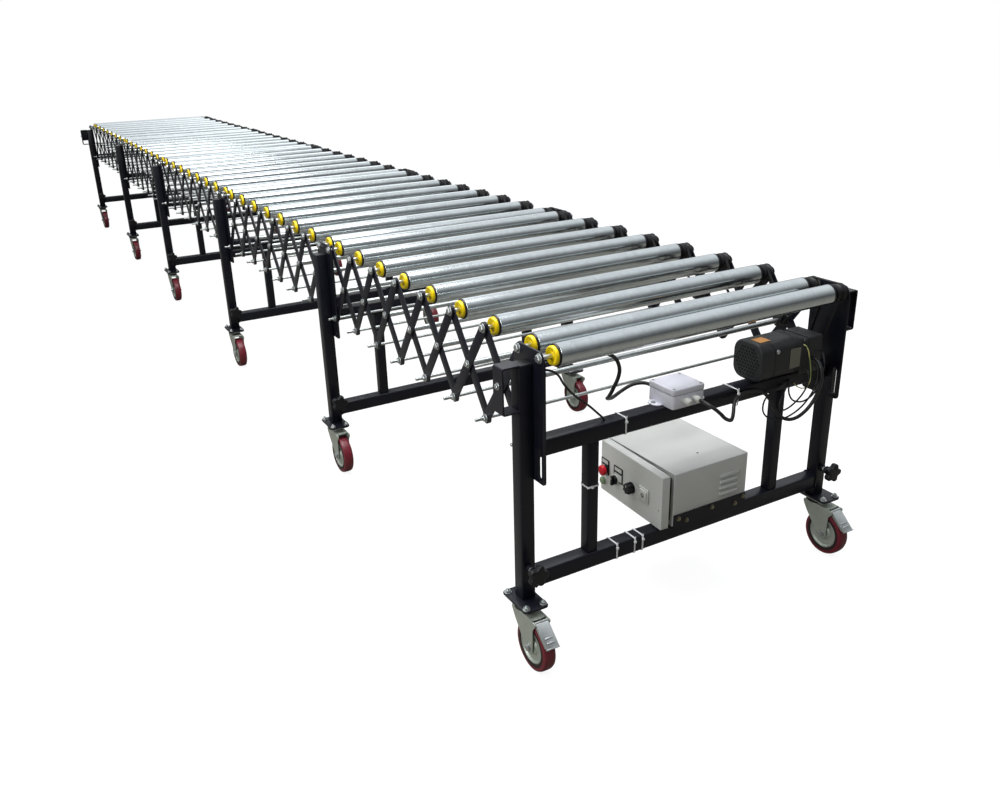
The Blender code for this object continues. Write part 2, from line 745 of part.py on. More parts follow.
def frame_solids(x):
    """The posts, crossbars, uprights and guide plates of one leg."""
    half_post = POST_SIZE / 2
    half_bar = CROSSBAR_SIZE / 2
    half_upright = UPRIGHT_SIZE / 2
    solids = []
    for side in (-1, 1):
        edges = sorted((side * POST_FACE, side * POST_OUTSIDE))
        low = (x - half_post, edges[0], POST_BOTTOM_HEIGHT)
        high = (x + half_post, edges[1], POST_TOP_HEIGHT)
        solids.append(block(low, high))
    reach = POST_FACE + BITE
    solids.append(across(x, UPPER_BAR_HEIGHT, half_bar, half_bar, reach))
    solids.append(across(x, LOWER_BAR_HEIGHT, half_bar, half_bar, reach))
    for side in (-1, 1):
        y = side * UPRIGHT_OFFSET
        low = (x - half_upright, y - half_upright, LOWER_BAR_TOP - BITE)
        high = (x + half_upright, y + half_upright, UPPER_BAR_TOP - CROSSBAR_SIZE + BITE)
        solids.append(block(low, high))
        middle = GUIDE_FACE + GUIDE_THICKNESS / 2
        solids.append(upright_plate(guide_outlines(x), GUIDE_THICKNESS, side * middle))
    return solids


def end_brackets(x):
    """The open brackets outside the posts of an end leg: top flange, web and bottom flange."""
    half = END_BRACKET_WIDTH / 2
    inside = POST_OUTSIDE - BITE
    outside = POST_OUTSIDE + END_BRACKET_DEPTH
    top = POST_TOP_HEIGHT + END_BRACKET_PLATE / 2
    bottom = top - END_BRACKET_HEIGHT
    solids = []
    for side in (-1, 1):
        flange = sorted((side * inside, side * outside))
        web = sorted((side * (outside - END_BRACKET_PLATE), side * outside))
        for low_z in (bottom, top - END_BRACKET_PLATE):
            high_z = low_z + END_BRACKET_PLATE
            solids.append(block((x - half, flange[0], low_z), (x + half, flange[1], high_z)))
        solids.append(block((x - half, web[0], bottom), (x + half, web[1], top)))
    return solids


def caster_place(x, side):
    """Where a caster's swivel axis meets the floor plan, a little outside and ahead of its post."""
    return x + CASTER_SHIFT, side * CASTER_Y


def foot_solids(x, side):
    """A foot: the tube that slides in the post and the plates that the caster turns under."""
    y = side * POST_CENTRE
    half_tube = POST_SIZE / 2 - POST_WALL - FOOT_CLEARANCE
    tube_low = (x - half_tube, y - half_tube, FOOT_PLATE_TOP - BITE)
    tube_high = (x + half_tube, y + half_tube, FOOT_PLATE_TOP + FOOT_TUBE_LENGTH)
    cx, cy = caster_place(x, side)
    half_length, half_width = FOOT_PLATE_LENGTH / 2, FOOT_PLATE_WIDTH / 2
    foot_bottom = FOOT_PLATE_TOP - FOOT_PLATE_THICKNESS
    foot_low = (cx - half_length, cy - half_width, foot_bottom)
    foot_high = (cx + half_length, cy + half_width, FOOT_PLATE_TOP)
    half_length, half_width = CASTER_PLATE_LENGTH / 2, CASTER_PLATE_WIDTH / 2
    plate_low = (cx - half_length, cy - half_width, CASTER_PLATE_BOTTOM)
    plate_high = (cx + half_length, cy + half_width, foot_bottom + BITE)
    return [block(foot_low, foot_high), block(tube_low, tube_high), block(plate_low, plate_high)]


def post_pocket(x, side):
    """The hollow of a post that a foot slides in."""
    y = side * POST_CENTRE
    half = POST_SIZE / 2 - POST_WALL
    top = FOOT_PLATE_TOP + FOOT_TUBE_LENGTH + OVERRUN
    return block((x - half, y - half, POST_BOTTOM_HEIGHT - OVERRUN), (x + half, y + half, top))


def knob_outline(y, z):
    """A star outline: its radius swells and shrinks once for each lobe."""
    count = KNOB_LOBES * KNOB_POINTS_PER_LOBE
    points = []
    for k in range(count):
        angle = 2 * math.pi * k / count
        swell = 1 + KNOB_LOBE_DEPTH_SHARE * (math.cos(KNOB_LOBES * angle) - 1) / 2
        radius = KNOB_RADIUS * swell
        points.append((y + radius * math.cos(angle), z + radius * math.sin(angle)))
    return points


def knob_solids(x, side, screw_start):
    """A star knob and its screw, which points into the post from the control end."""
    y = side * POST_CENTRE
    inner = x + POST_SIZE / 2 + KNOB_STAND_OFF
    middle = inner + KNOB_THICKNESS / 2
    screw_end = inner + BITE
    start, end = (screw_start, y, KNOB_HEIGHT), (screw_end, y, KNOB_HEIGHT)
    return [
        cross_plate([knob_outline(y, KNOB_HEIGHT)], KNOB_THICKNESS, middle),
        cylinder("X", start, end, KNOB_SCREW_RADIUS, HOLE_SIDES),
    ]


def cheek_outline(cx):
    """A fork cheek: wide at the yoke, with a lug for the pedal, and round at the wheel's axle."""
    quarter = math.pi / 2
    axle_x = cx + CASTER_TRAIL
    lower = arc((axle_x, WHEEL_RADIUS), CHEEK_END_RADIUS, -1.5 * quarter, quarter / 4, LINK_CORNERS)
    return [
        (cx - YOKE_BACK, YOKE_TOP),
        (cx - YOKE_BACK, YOKE_TOP - YOKE_THICKNESS),
        *lower,
        (cx + YOKE_FRONT, YOKE_TOP - CHEEK_NECK),
        (cx + LUG_FRONT, YOKE_TOP - LUG_DEPTH),
        (cx + LUG_FRONT, YOKE_TOP),
    ]


def fork_solids(cx, cy, ring_top):
    """A caster's swivel ring, yoke, cheeks and wheel axle."""
    inside = WHEEL_WIDTH / 2 + CHEEK_GAP
    outside = inside + CHEEK_THICKNESS
    axle_x = cx + CASTER_TRAIL
    reach = outside + CASTER_AXLE_END
    yoke_low = (cx - YOKE_BACK + BITE, cy - inside - BITE, YOKE_TOP - YOKE_THICKNESS)
    yoke_high = (cx + YOKE_FRONT, cy + inside + BITE, YOKE_TOP - BITE / 2)
    ends = [(axle_x, cy + sign * reach, WHEEL_RADIUS) for sign in (-1, 1)]
    solids = [
        cylinder("Z", (cx, cy, YOKE_TOP - BITE), (cx, cy, ring_top), SWIVEL_RADIUS, SWIVEL_SIDES),
        block(yoke_low, yoke_high),
        cylinder("Y", *ends, CASTER_AXLE_RADIUS, HOLE_SIDES),
    ]
    for sign in (-1, 1):
        middle = cy + sign * (inside + outside) / 2
        solids.append(upright_plate([cheek_outline(cx)], CHEEK_THICKNESS, middle))
    return solids


def wheel_mesh(cx, cy):
    """A solid caster wheel with a flat facet on the floor."""
    half = WHEEL_WIDTH / 2
    ends = [(cx + CASTER_TRAIL, cy + sign * half, WHEEL_RADIUS) for sign in (-1, 1)]
    return cylinder("Y", *ends, WHEEL_CORNER_RADIUS, WHEEL_SIDES, flat_down=True)


def wheel_bore(cx, cy):
    """The bore that a free wheel turns on."""
    reach = WHEEL_WIDTH / 2 + OVERRUN
    radius = clear_radius(CASTER_AXLE_RADIUS + WHEEL_BORE_CLEARANCE, HOLE_SIDES)
    ends = [(cx + CASTER_TRAIL, cy + sign * reach, WHEEL_RADIUS) for sign in (-1, 1)]
    return cylinder("Y", *ends, radius, HOLE_SIDES, flat_down=True)


def pedal_solids(cx, cy):
    """A brake pedal: a barrel at its pivot and the sloping plate that a foot presses."""
    half = PEDAL_WIDTH / 2
    pivot = Vector((cx + PEDAL_PIVOT_X, cy, PEDAL_PIVOT_HEIGHT))
    tilt = Matrix.Translation(pivot) @ Matrix.Rotation(PEDAL_SLOPE, 4, "Y")
    blade = block((0, -half, 0), (PEDAL_LENGTH, half, PEDAL_THICKNESS))
    blade.transform(tilt)
    ends = [(pivot.x, cy + sign * half, pivot.z) for sign in (-1, 1)]
    return [blade, cylinder("Y", *ends, PEDAL_BARREL_RADIUS, HOLE_SIDES)]


def plain_leg(builder, index):
    """Legs 2 to 6: the whole leg with its two rollers, feet, knobs and casters."""
    x = LEG_X[index]
    solids = frame_solids(x)
    guide_middle = GUIDE_FACE + GUIDE_THICKNESS / 2
    for sign in (-1, 1):
        roller_x = x + sign * PAIR_SPACING / 2
        solids += solid_roller(roller_x)
        solids.append(axle(roller_x, guide_middle))
    for side in (-1, 1):
        solids += foot_solids(x, side)
        solids += knob_solids(x, side, x)
        solids += fork_solids(*caster_place(x, side), CASTER_PLATE_BOTTOM + BITE)
        solids.append(wheel_mesh(*caster_place(x, side)))
        solids.append(clamped_foot(x, side))
    if index == LEG_COUNT - 1:
        solids += end_brackets(x)
    builder.node(f"leg_frame_{index + 1}", "black_coat", (x, 0, 0), solids)


def clamped_foot(x, side):
    """What joins a clamped foot to its post: a block through both."""
    y = side * POST_CENTRE
    half = POST_SIZE / 2 - POST_WALL
    bottom = FOOT_PLATE_TOP - FOOT_PLATE_THICKNESS / 2
    return block((x - half, y - half, bottom), (x + half, y + half, POST_BOTTOM_HEIGHT + OVERRUN))


def control_leg(builder):
    """Leg 1: its frame, feet, casters, pedals and knobs, each able to move."""
    x = LEG_X[0]
    solids = frame_solids(x) + end_brackets(x) + [angle_bracket()]
    guide_middle = GUIDE_FACE + GUIDE_THICKNESS / 2
    solids += [axle(x + sign * PAIR_SPACING / 2, guide_middle) for sign in (-1, 1)]
    cuts = []
    screw_hole = clear_radius(KNOB_SCREW_RADIUS + PIVOT_CLEARANCE, HOLE_SIDES)
    for side in (-1, 1):
        y = side * POST_CENTRE
        cuts.append(post_pocket(x, side))
        start, end = (x, y, KNOB_HEIGHT), (x + POST_SIZE, y, KNOB_HEIGHT)
        cuts.append(cylinder("X", start, end, screw_hole, HOLE_SIDES))
    builder.node("leg_frame_1", "black_coat", (x, 0, 0), solids, cuts)
    for k, sign in enumerate((1, -1)):
        free_roller(builder, f"roller_{k + 1}", x + sign * PAIR_SPACING / 2)
    for side, word in ((-1, "near"), (1, "far")):
        y = side * POST_CENTRE
        builder.node(f"foot_{word}", "black_coat", (x, y, FOOT_PLATE_TOP), foot_solids(x, side))
        place = caster_place(x, side)
        builder.node(f"caster_fork_{word}", "zinc", (*place, SWIVEL_TOP), fork_solids(*place, SWIVEL_TOP))
        axle_place = (place[0] + CASTER_TRAIL, place[1], WHEEL_RADIUS)
        solids, cuts = [wheel_mesh(*place)], [wheel_bore(*place)]
        builder.node(f"caster_wheel_{word}", "tread", axle_place, solids, cuts)
        pivot = (place[0] + PEDAL_PIVOT_X, place[1], PEDAL_PIVOT_HEIGHT)
        builder.node(f"brake_pedal_{word}", "zinc", pivot, pedal_solids(*place))
        tip = x + POST_SIZE / 2 - POST_WALL - FOOT_CLEARANCE + SEAT_GAP
        builder.node(f"star_knob_{word}", "black_plastic", (x, y, KNOB_HEIGHT), knob_solids(x, side, tip))


def angle_bracket():
    """The angle that holds the control box on the lower bar: an L seen from the side."""
    front = BOX_FRONT_X + SEAT_GAP + ANGLE_THICKNESS
    inside = BOX_FRONT_X + SEAT_GAP
    back = LEG_X[0] - CROSSBAR_SIZE / 2
    bottom = LOWER_BAR_TOP - BITE
    ledge = LOWER_BAR_TOP + ANGLE_THICKNESS
    top = LOWER_BAR_TOP + ANGLE_HEIGHT
    outline = [(back, bottom), (front, bottom), (front, top), (inside, top), (inside, ledge), (back, ledge)]
    middle = BOX_NEAR_Y + BOX_DEPTH / 2
    return upright_plate([outline], BOX_DEPTH, middle)


def control_box(builder):
    """The open case behind the door."""
    far_y = BOX_NEAR_Y + BOX_DEPTH
    top = BOX_BOTTOM + BOX_HEIGHT
    outside = block((BOX_BACK_X, BOX_NEAR_Y, BOX_BOTTOM), (BOX_FRONT_X, far_y, top))
    wall = BOX_WALL
    hollow = block(
        (BOX_BACK_X + wall, BOX_NEAR_Y - OVERRUN, BOX_BOTTOM + wall),
        (BOX_FRONT_X - wall, far_y - wall, top - wall),
    )
    solids = [outside, *hinge_lugs()]
    builder.node("control_box", "grey_enamel", (BOX_BACK_X, BOX_NEAR_Y, BOX_BOTTOM), solids, [hollow])


def hinge_lugs():
    """The hinge pin of the door, held above and below its knuckle by two lugs on the case's side."""
    start = BOX_BOTTOM + KNUCKLE_START
    end = start + KNUCKLE_LENGTH
    low = start - SEAT_GAP - LUG_HEIGHT
    high = end + SEAT_GAP + LUG_HEIGHT
    lug_near = HINGE_Y - LUG_FACE
    lug_far = BOX_NEAR_Y + LUG_ROOT_DEPTH
    outer = BOX_BACK_X - LUG_WIDTH - LUG_MARGIN
    root_near = BOX_NEAR_Y + HINGE_INSET
    pin = [(HINGE_X, HINGE_Y, low + BITE), (HINGE_X, HINGE_Y, high - BITE)]
    solids = [cylinder("Z", *pin, HINGE_PIN_RADIUS - LUG_MARGIN, HINGE_SIDES)]
    for base in (low, high - LUG_HEIGHT):
        top = base + LUG_HEIGHT
        solids.append(block((outer, lug_near, base), (BOX_BACK_X - LUG_MARGIN, lug_far, top)))
        root_low = (BOX_BACK_X - 2 * LUG_MARGIN, root_near, base + BITE)
        root_high = (BOX_BACK_X + 2 * LUG_MARGIN, lug_far - BITE, top - BITE)
        solids.append(block(root_low, root_high))
    return solids


def ajar(meshes):
    """The door's solids turned about the hinge by the angle that the door stands open."""
    for mesh in meshes:
        mesh.transform(SWING)
    return meshes


def control_door(builder):
    """The door, a shallow tray hinged at its back end, with holes for the controls' shafts."""
    top = BOX_BOTTOM + BOX_HEIGHT
    tray = block((BOX_BACK_X, DOOR_FACE_Y, BOX_BOTTOM), (BOX_FRONT_X, DOOR_BACK_Y, top))
    wall = BOX_WALL
    inner_low = (BOX_BACK_X + KNUCKLE_RADIUS, DOOR_FACE_Y + wall, BOX_BOTTOM + wall)
    inner_high = (BOX_FRONT_X - wall, DOOR_BACK_Y + OVERRUN, top - wall)
    start = BOX_BOTTOM + KNUCKLE_START
    end = start + KNUCKLE_LENGTH
    knuckle = [(HINGE_X, HINGE_Y, start), (HINGE_X, HINGE_Y, end)]
    bore = [(HINGE_X, HINGE_Y, start - OVERRUN), (HINGE_X, HINGE_Y, end + OVERRUN)]
    bore_radius = clear_radius(HINGE_PIN_RADIUS, HINGE_SIDES)
    cuts = [
        block(inner_low, inner_high),
        cylinder("Z", *bore, bore_radius, HINGE_SIDES, flat_down=True),
    ]
    shafts = (
        (STOP_BUTTON_X, STOP_BUTTON_Z, STOP_STEM_RADIUS),
        (SELECTOR_X, SELECTOR_Z, CONTROL_SHAFT_RADIUS),
        (SPEED_KNOB_X, SPEED_KNOB_Z, CONTROL_SHAFT_RADIUS),
        (LATCH_X, LATCH_Z, CONTROL_SHAFT_RADIUS),
    )
    for along, height, radius in shafts:
        x, z = BOX_FRONT_X + along, BOX_BOTTOM + height
        hole = clear_radius(radius + PIVOT_CLEARANCE, CONTROL_SIDES)
        ends = [(x, DOOR_FACE_Y + sign * OVERRUN, z) for sign in (-1, 1)]
        cuts.append(cylinder("Y", *ends, hole, CONTROL_SIDES))
    solids = [tray, cylinder("Z", *knuckle, KNUCKLE_RADIUS, HINGE_SIDES)]
    origin = (HINGE_X, HINGE_Y, BOX_BOTTOM)
    builder.node("control_box_door", "grey_enamel", origin, ajar(solids), ajar(cuts))


def turned_control(builder, name, colour, along, height, radius, thickness, shaft):
    """A round control on the door with its shaft through it."""
    x, z = BOX_FRONT_X + along, BOX_BOTTOM + height
    face = DOOR_FACE_Y - SEAT_GAP
    end = DOOR_FACE_Y + BOX_WALL + OVERRUN / 2
    solids = [
        cylinder("Y", (x, face - thickness, z), (x, face, z), radius, CONTROL_SIDES),
        cylinder("Y", (x, face - BITE, z), (x, end, z), shaft, HOLE_SIDES),
    ]
    builder.node(name, colour, SWING @ Vector((x, face, z)), ajar(solids))


def controls(builder):
    """The stop button, the two knobs and the latch of the door."""
    x, z = BOX_FRONT_X + STOP_BUTTON_X, BOX_BOTTOM + STOP_BUTTON_Z
    face = DOOR_FACE_Y
    mushroom = face - STOP_STEM_LENGTH
    end = face + BOX_WALL + OVERRUN / 2
    front = mushroom - STOP_BUTTON_THICKNESS
    solids = [
        cylinder("Y", (x, front, z), (x, mushroom, z), STOP_BUTTON_RADIUS, CONTROL_SIDES),
        cylinder("Y", (x, mushroom - BITE, z), (x, end, z), STOP_STEM_RADIUS, CONTROL_SIDES),
    ]
    builder.node("emergency_stop_button", "red_plastic", SWING @ Vector((x, face, z)), ajar(solids))
    turned_control(
        builder, "selector_knob", "black_plastic", SELECTOR_X, SELECTOR_Z,
        SELECTOR_RADIUS, SELECTOR_THICKNESS, CONTROL_SHAFT_RADIUS,
    )
    turned_control(
        builder, "speed_knob", "black_plastic", SPEED_KNOB_X, SPEED_KNOB_Z,
        SPEED_KNOB_RADIUS, SPEED_KNOB_THICKNESS, CONTROL_SHAFT_RADIUS,
    )
    x, z = BOX_FRONT_X + LATCH_X, BOX_BOTTOM + LATCH_Z
    half = LATCH_SIZE / 2
    front = face - SEAT_GAP
    solids = [
        block((x - half, front - LATCH_THICKNESS, z - half), (x + half, front, z + half)),
        cylinder("Y", (x, front - BITE, z), (x, end, z), CONTROL_SHAFT_RADIUS, HOLE_SIDES),
    ]
    builder.node("door_latch", "grey_enamel", SWING @ Vector((x, front, z)), ajar(solids))


def drive(builder):
    """The motor, its gearbox on the upper bar and the belt pulley on the output shaft."""
    x, z = LEG_X[0], DRIVE_AXIS_HEIGHT
    motor_end = MOTOR_START_Y + MOTOR_LENGTH
    body = cylinder("Y", (x, MOTOR_START_Y, z), (x, motor_end, z), MOTOR_RADIUS, MOTOR_SIDES, flat_down=True)
    builder.node("drive_motor", "motor", (x, MOTOR_START_Y, z), [body])
    box_start = motor_end + SEAT_GAP
    box_end = box_start + GEARBOX_LENGTH
    half = GEARBOX_HALF_WIDTH
    shaft_end = box_end + SEAT_GAP + PULLEY_LENGTH
    housing = block((x - half, box_start, UPPER_BAR_TOP + SEAT_GAP), (x + half, box_end, z + GEARBOX_TOP))
    shaft = cylinder("Y", (x, box_end - BITE, z), (x, shaft_end, z), PULLEY_SHAFT_RADIUS, HOLE_SIDES)
    builder.node("gearbox", "motor", (x, box_start, z), [housing, shaft])
    bore = clear_radius(PULLEY_SHAFT_RADIUS + PULLEY_BORE_CLEARANCE, ROLLER_STEPS)
    near, far = 0.0, PULLEY_LENGTH
    profile = [(bore, far), (PULLEY_RADIUS, far), (PULLEY_RADIUS, near), (bore, near)]
    builder.turned("drive_pulley", "black_plastic", (x, box_end + SEAT_GAP, z), profile, ROLLER_STEPS)


def junction_box(builder):
    """The cable box on the upper bar, with two glands at its front and one at its back."""
    x, y = LEG_X[0], JUNCTION_CENTRE_Y
    half_x, half_y = JUNCTION_LENGTH / 2, JUNCTION_WIDTH / 2
    bottom = UPPER_BAR_TOP + SEAT_GAP
    z = bottom + JUNCTION_HEIGHT * GLAND_HEIGHT_SHARE
    top = bottom + JUNCTION_HEIGHT
    solids = [block((x - half_x, y - half_y, bottom), (x + half_x, y + half_y, top))]
    for place in (y + GLAND_SPACING / 2, y - GLAND_SPACING / 2):
        start, end = (x + half_x - BITE, place, z), (x + half_x + GLAND_LENGTH, place, z)
        solids.append(cylinder("X", start, end, GLAND_RADIUS, HOLE_SIDES))
    side = y + BACK_GLAND_OFFSET
    start, end = (x - half_x + BITE, side, z), (x - half_x - GLAND_LENGTH, side, z)
    solids.append(cylinder("X", start, end, GLAND_RADIUS, HOLE_SIDES))
    builder.node("junction_box", "pale_plastic", (x, y, bottom), solids)


# Cable routes are chosen by hand, from leg 1's centre line on the floor and the rollers' middle
MOTOR_CABLE_ROUTE = (
    (0.0685, -0.0190, 0.5715),
    (0.0760, -0.0190, 0.5715),
    (0.0935, -0.0154, 0.5679),
    (0.1074, -0.0057, 0.5582),
    (0.1125, 0.0076, 0.5449),
    (0.1110, 0.0200, 0.5330),
    (0.1030, 0.0450, 0.5190),
    (0.0880, 0.0660, 0.5150),
    (0.0700, 0.0860, 0.5190),
    (0.0530, 0.1030, 0.5260),
    (0.0400, 0.1200, 0.5320),
    (0.0310, 0.1400, 0.5360),
    (0.0270, 0.1650, 0.5375),
    (0.0270, 0.2050, 0.5330),
    (0.0300, 0.2280, 0.5210),
    (0.0340, 0.2440, 0.5020),
    (0.0380, 0.2560, 0.4780),
    (0.0440, 0.2720, 0.4560),
    (0.0520, 0.2940, 0.4440),
    (0.0610, 0.3160, 0.4480),
    (0.0700, 0.3360, 0.4660),
    (0.0780, 0.3500, 0.4920),
    (0.0830, 0.3580, 0.5200),
    (0.0850, 0.3620, 0.5460),
    (0.0810, 0.3640, 0.5680),
    (0.0710, 0.3655, 0.5840),
    (0.0580, 0.3660, 0.5915),
    (0.0445, 0.3660, 0.5925),
)
SENSOR_CABLE_ROUTE = (
    (-0.0685, -0.0500, 0.5715),
    (-0.0780, -0.0500, 0.5715),
    (-0.0918, -0.0527, 0.5710),
    (-0.1035, -0.0605, 0.5690),
    (-0.1113, -0.0722, 0.5660),
    (-0.1140, -0.0860, 0.5620),
    (-0.1110, -0.1050, 0.5580),
    (-0.1020, -0.1280, 0.5560),
    (-0.0880, -0.1500, 0.5580),
    (-0.0700, -0.1730, 0.5650),
    (-0.0500, -0.1970, 0.5770),
    (-0.0310, -0.2080, 0.5890),
    (-0.0180, -0.2100, 0.6050),
    (-0.0120, -0.2060, 0.6220),
    (-0.0100, -0.1980, 0.6400),
    (-0.0100, -0.1940, 0.6580),
    (-0.0100, -0.1980, 0.6750),
    (-0.0090, -0.2080, 0.6900),
    (-0.0070, -0.2240, 0.7020),
    (-0.0040, -0.2450, 0.7110),
    (-0.0010, -0.2700, 0.7160),
    (0.0, -0.3000, 0.7180),
    (0.0, -0.3400, 0.7180),
    (0.0, -0.3800, 0.7180),
    (0.0, -0.4100, 0.7180),
    (0.0, -0.4354, 0.7180),
)


def cables(builder):
    """The motor's cable and the sensor cable, each along its whole route on leg 1."""
    start = Vector((LEG_X[0], ROLLER_MIDDLE_Y, 0))
    for name, route in (("motor_cable", MOTOR_CABLE_ROUTE), ("sensor_cable", SENSOR_CABLE_ROUTE)):
        points = [start + Vector(point) for point in route]
        builder.node(name, "cable", points[0], [tube(points, CABLE_RADIUS)])


def build():
    """Makes every node of the conveyor."""
    clear_scene()
    builder = Builder()
    control_leg(builder)
    for index in range(1, LEG_COUNT):
        plain_leg(builder, index)
    folding_section(builder)
    for index in range(1, len(SECTION_PITCHES)):
        joined_section(builder, index)
    control_box(builder)
    control_door(builder)
    controls(builder)
    drive(builder)
    junction_box(builder)
    cables(builder)


build()
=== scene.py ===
"""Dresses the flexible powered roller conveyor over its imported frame, as a Blender add-on run as a script.

Metres, +Z up, +X along the conveyor to the end with the control box, +Y to the side with the belt drive.
"""

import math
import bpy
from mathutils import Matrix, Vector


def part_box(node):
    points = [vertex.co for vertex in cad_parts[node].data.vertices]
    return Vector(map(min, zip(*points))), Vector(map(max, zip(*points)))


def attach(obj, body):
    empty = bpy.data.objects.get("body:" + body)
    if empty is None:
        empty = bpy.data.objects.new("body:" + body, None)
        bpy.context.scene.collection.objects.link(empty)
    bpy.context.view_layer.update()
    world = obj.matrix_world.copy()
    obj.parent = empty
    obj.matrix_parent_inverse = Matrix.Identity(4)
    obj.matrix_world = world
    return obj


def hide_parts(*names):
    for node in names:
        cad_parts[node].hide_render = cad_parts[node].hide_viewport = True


bl_info = {
    "name": "Flexible roller conveyor",
    "version": (1, 0, 0),
    "blender": (4, 5, 0),
    "location": "3D View > Sidebar > Conveyor",
    "description": "Builds the looks of a flexible powered roller conveyor over its frame",
    "category": "Object",
}

import bmesh
import bpy
import numpy as np
from mathutils import Matrix, Vector

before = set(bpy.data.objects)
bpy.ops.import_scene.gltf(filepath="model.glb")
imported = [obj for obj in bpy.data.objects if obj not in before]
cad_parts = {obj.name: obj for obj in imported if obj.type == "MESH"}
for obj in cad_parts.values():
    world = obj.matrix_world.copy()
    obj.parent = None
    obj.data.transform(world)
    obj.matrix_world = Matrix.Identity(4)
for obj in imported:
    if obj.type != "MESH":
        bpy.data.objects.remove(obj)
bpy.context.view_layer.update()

# Spread of each section in metres from roller to roller, counted from the control end
SECTION_PITCHES = (0.162, 0.168, 0.173, 0.160, 0.175)
UNITS = 7
LEG_COUNT = 6

# Signs of the near and the far side, and of any other pair set evenly about a middle
SIDES = (-1, 1)
SIDE_NAMES = ("near", "far")

# Layers across the conveyor, from the middle out. The rollers sit off the middle: their drive heads are long
ROLLER_MIDDLE = -0.012
HEAD_LENGTH = 0.046
INNER_LINK = 0.4385
OUTER_LINK = 0.4431
LINK_THICKNESS = 0.004
LINK_FACE = OUTER_LINK + LINK_THICKNESS
GUIDE_FACE = 0.4477
GUIDE_OUTSIDE = 0.4527
POST_CENTRE = 0.4695
POST_OUTSIDE = 0.4875
CASTER_Y = 0.4755
UPRIGHT_Y = 0.291

# Gap under a nut or a plate that lies on another piece
SEAT_GAP = 0.0003

# Faces that meet at more than this show an edge
SHARP_ANGLE = math.radians(34)

# Heights of the legs' pieces
POST_TOP = 0.733
POST_BOTTOM = 0.163
UPPER_BAR = 0.532
LOWER_BAR = 0.207
FOOT_TOP = 0.1626
CASTER_PLATE_BOTTOM = 0.1536
YOKE_TOP = 0.1416
KNOB_HEIGHT = 0.245
DRIVE_HEIGHT = 0.607
BAR_SEAT = 0.5523

# A caster from its leg's centre: the swivel sits ahead of it, and the wheel ahead of the swivel
SWIVEL_AHEAD = 0.010
WHEEL_AHEAD = 0.045

# Nuts and bolts: radius over the corners and height of the head
ROD_NUT = (0.0078, 0.0060)
PIVOT_NUT = (0.0078, 0.0042)
AXLE_BOLT = (0.0086, 0.0052)
PLATE_BOLT = (0.0068, 0.0052)

# Belt lanes past the rollers' drive heads, and the pulleys that the belts run on
FIRST_LANE = 0.4185
LANE_STEP = 0.0100
BELT_WIDTH = 0.0084
BELT_THICKNESS = 0.0018
HEAD_RADIUS = 0.0212
IDLER_RADIUS = 0.0130
PULLEY_RADIUS = 0.0200

# The control box, from its front end back and from its foot up
BOX_FRONT_OFFSET = 0.031
BOX_LENGTH = 0.262
BOX_NEAR_Y = -0.062
BOX_FAR_Y = 0.174
BOX_BOTTOM = 0.2303
BOX_TOP = 0.3723
DOOR_BACK = -0.0655
DOOR_FACE = -0.0875
HINGE_OUTSET = 0.004
HINGE_Y = -0.069
DOOR_AJAR = math.radians(2.4)

# Controls on the door: piece, node, slot, and place back from the front end and up from the foot
CONTROLS = (
    ("stop_mushroom", "emergency_stop_button", "red_button_plastic", 0.233, 0.069),
    ("selector_dressed", "selector_knob", "black_plastic", 0.191, 0.057),
    ("speed_knob_dressed", "speed_knob", "black_plastic", 0.1245, 0.063),
    ("latch_dressed", "door_latch", "light_grey_enamel", 0.071, 0.0665),
)

# The photograph's camera: its place from roller 1's axis on the floor, its angles and its focal length
CAMERA_PLACE = (1.5004, -1.4011, 1.3797)
CAMERA_YAW_PITCH_ROLL = (-29.647, 22.056, -1.504)
FOCAL_PIXELS = 919.95
PICTURE_WIDTH = 1000
SENSOR_WIDTH = 36.0

# Stage: half the floor's width, and the part of the white surround that metal mirrors
FLOOR_REACH = 60.0
MIRRORED_WHITE = 0.04

# Routes of the cables, as in the part's source, and of the thin leads. They start from leg 1's centre line
# on the floor and the rollers' middle
CABLE_RADIUS = 0.0045
MOTOR_CABLE = (
    (0.0685, -0.0190, 0.5715),
    (0.0760, -0.0190, 0.5715),
    (0.0935, -0.0154, 0.5679),
    (0.1074, -0.0057, 0.5582),
    (0.1125, 0.0076, 0.5449),
    (0.1110, 0.0200, 0.5330),
    (0.1030, 0.0450, 0.5190),
    (0.0880, 0.0660, 0.5150),
    (0.0700, 0.0860, 0.5190),
    (0.0530, 0.1030, 0.5260),
    (0.0400, 0.1200, 0.5320),
    (0.0310, 0.1400, 0.5360),
    (0.0270, 0.1650, 0.5375),
    (0.0270, 0.2050, 0.5330),
    (0.0300, 0.2280, 0.5210),
    (0.0340, 0.2440, 0.5020),
    (0.0380, 0.2560, 0.4780),
    (0.0440, 0.2720, 0.4560),
    (0.0520, 0.2940, 0.4440),
    (0.0610, 0.3160, 0.4480),
    (0.0700, 0.3360, 0.4660),
    (0.0780, 0.3500, 0.4920),
    (0.0830, 0.3580, 0.5200),
    (0.0850, 0.3620, 0.5460),
    (0.0810, 0.3640, 0.5680),
    (0.0710, 0.3655, 0.5840),
    (0.0580, 0.3660, 0.5915),
    (0.0445, 0.3660, 0.5925),
)
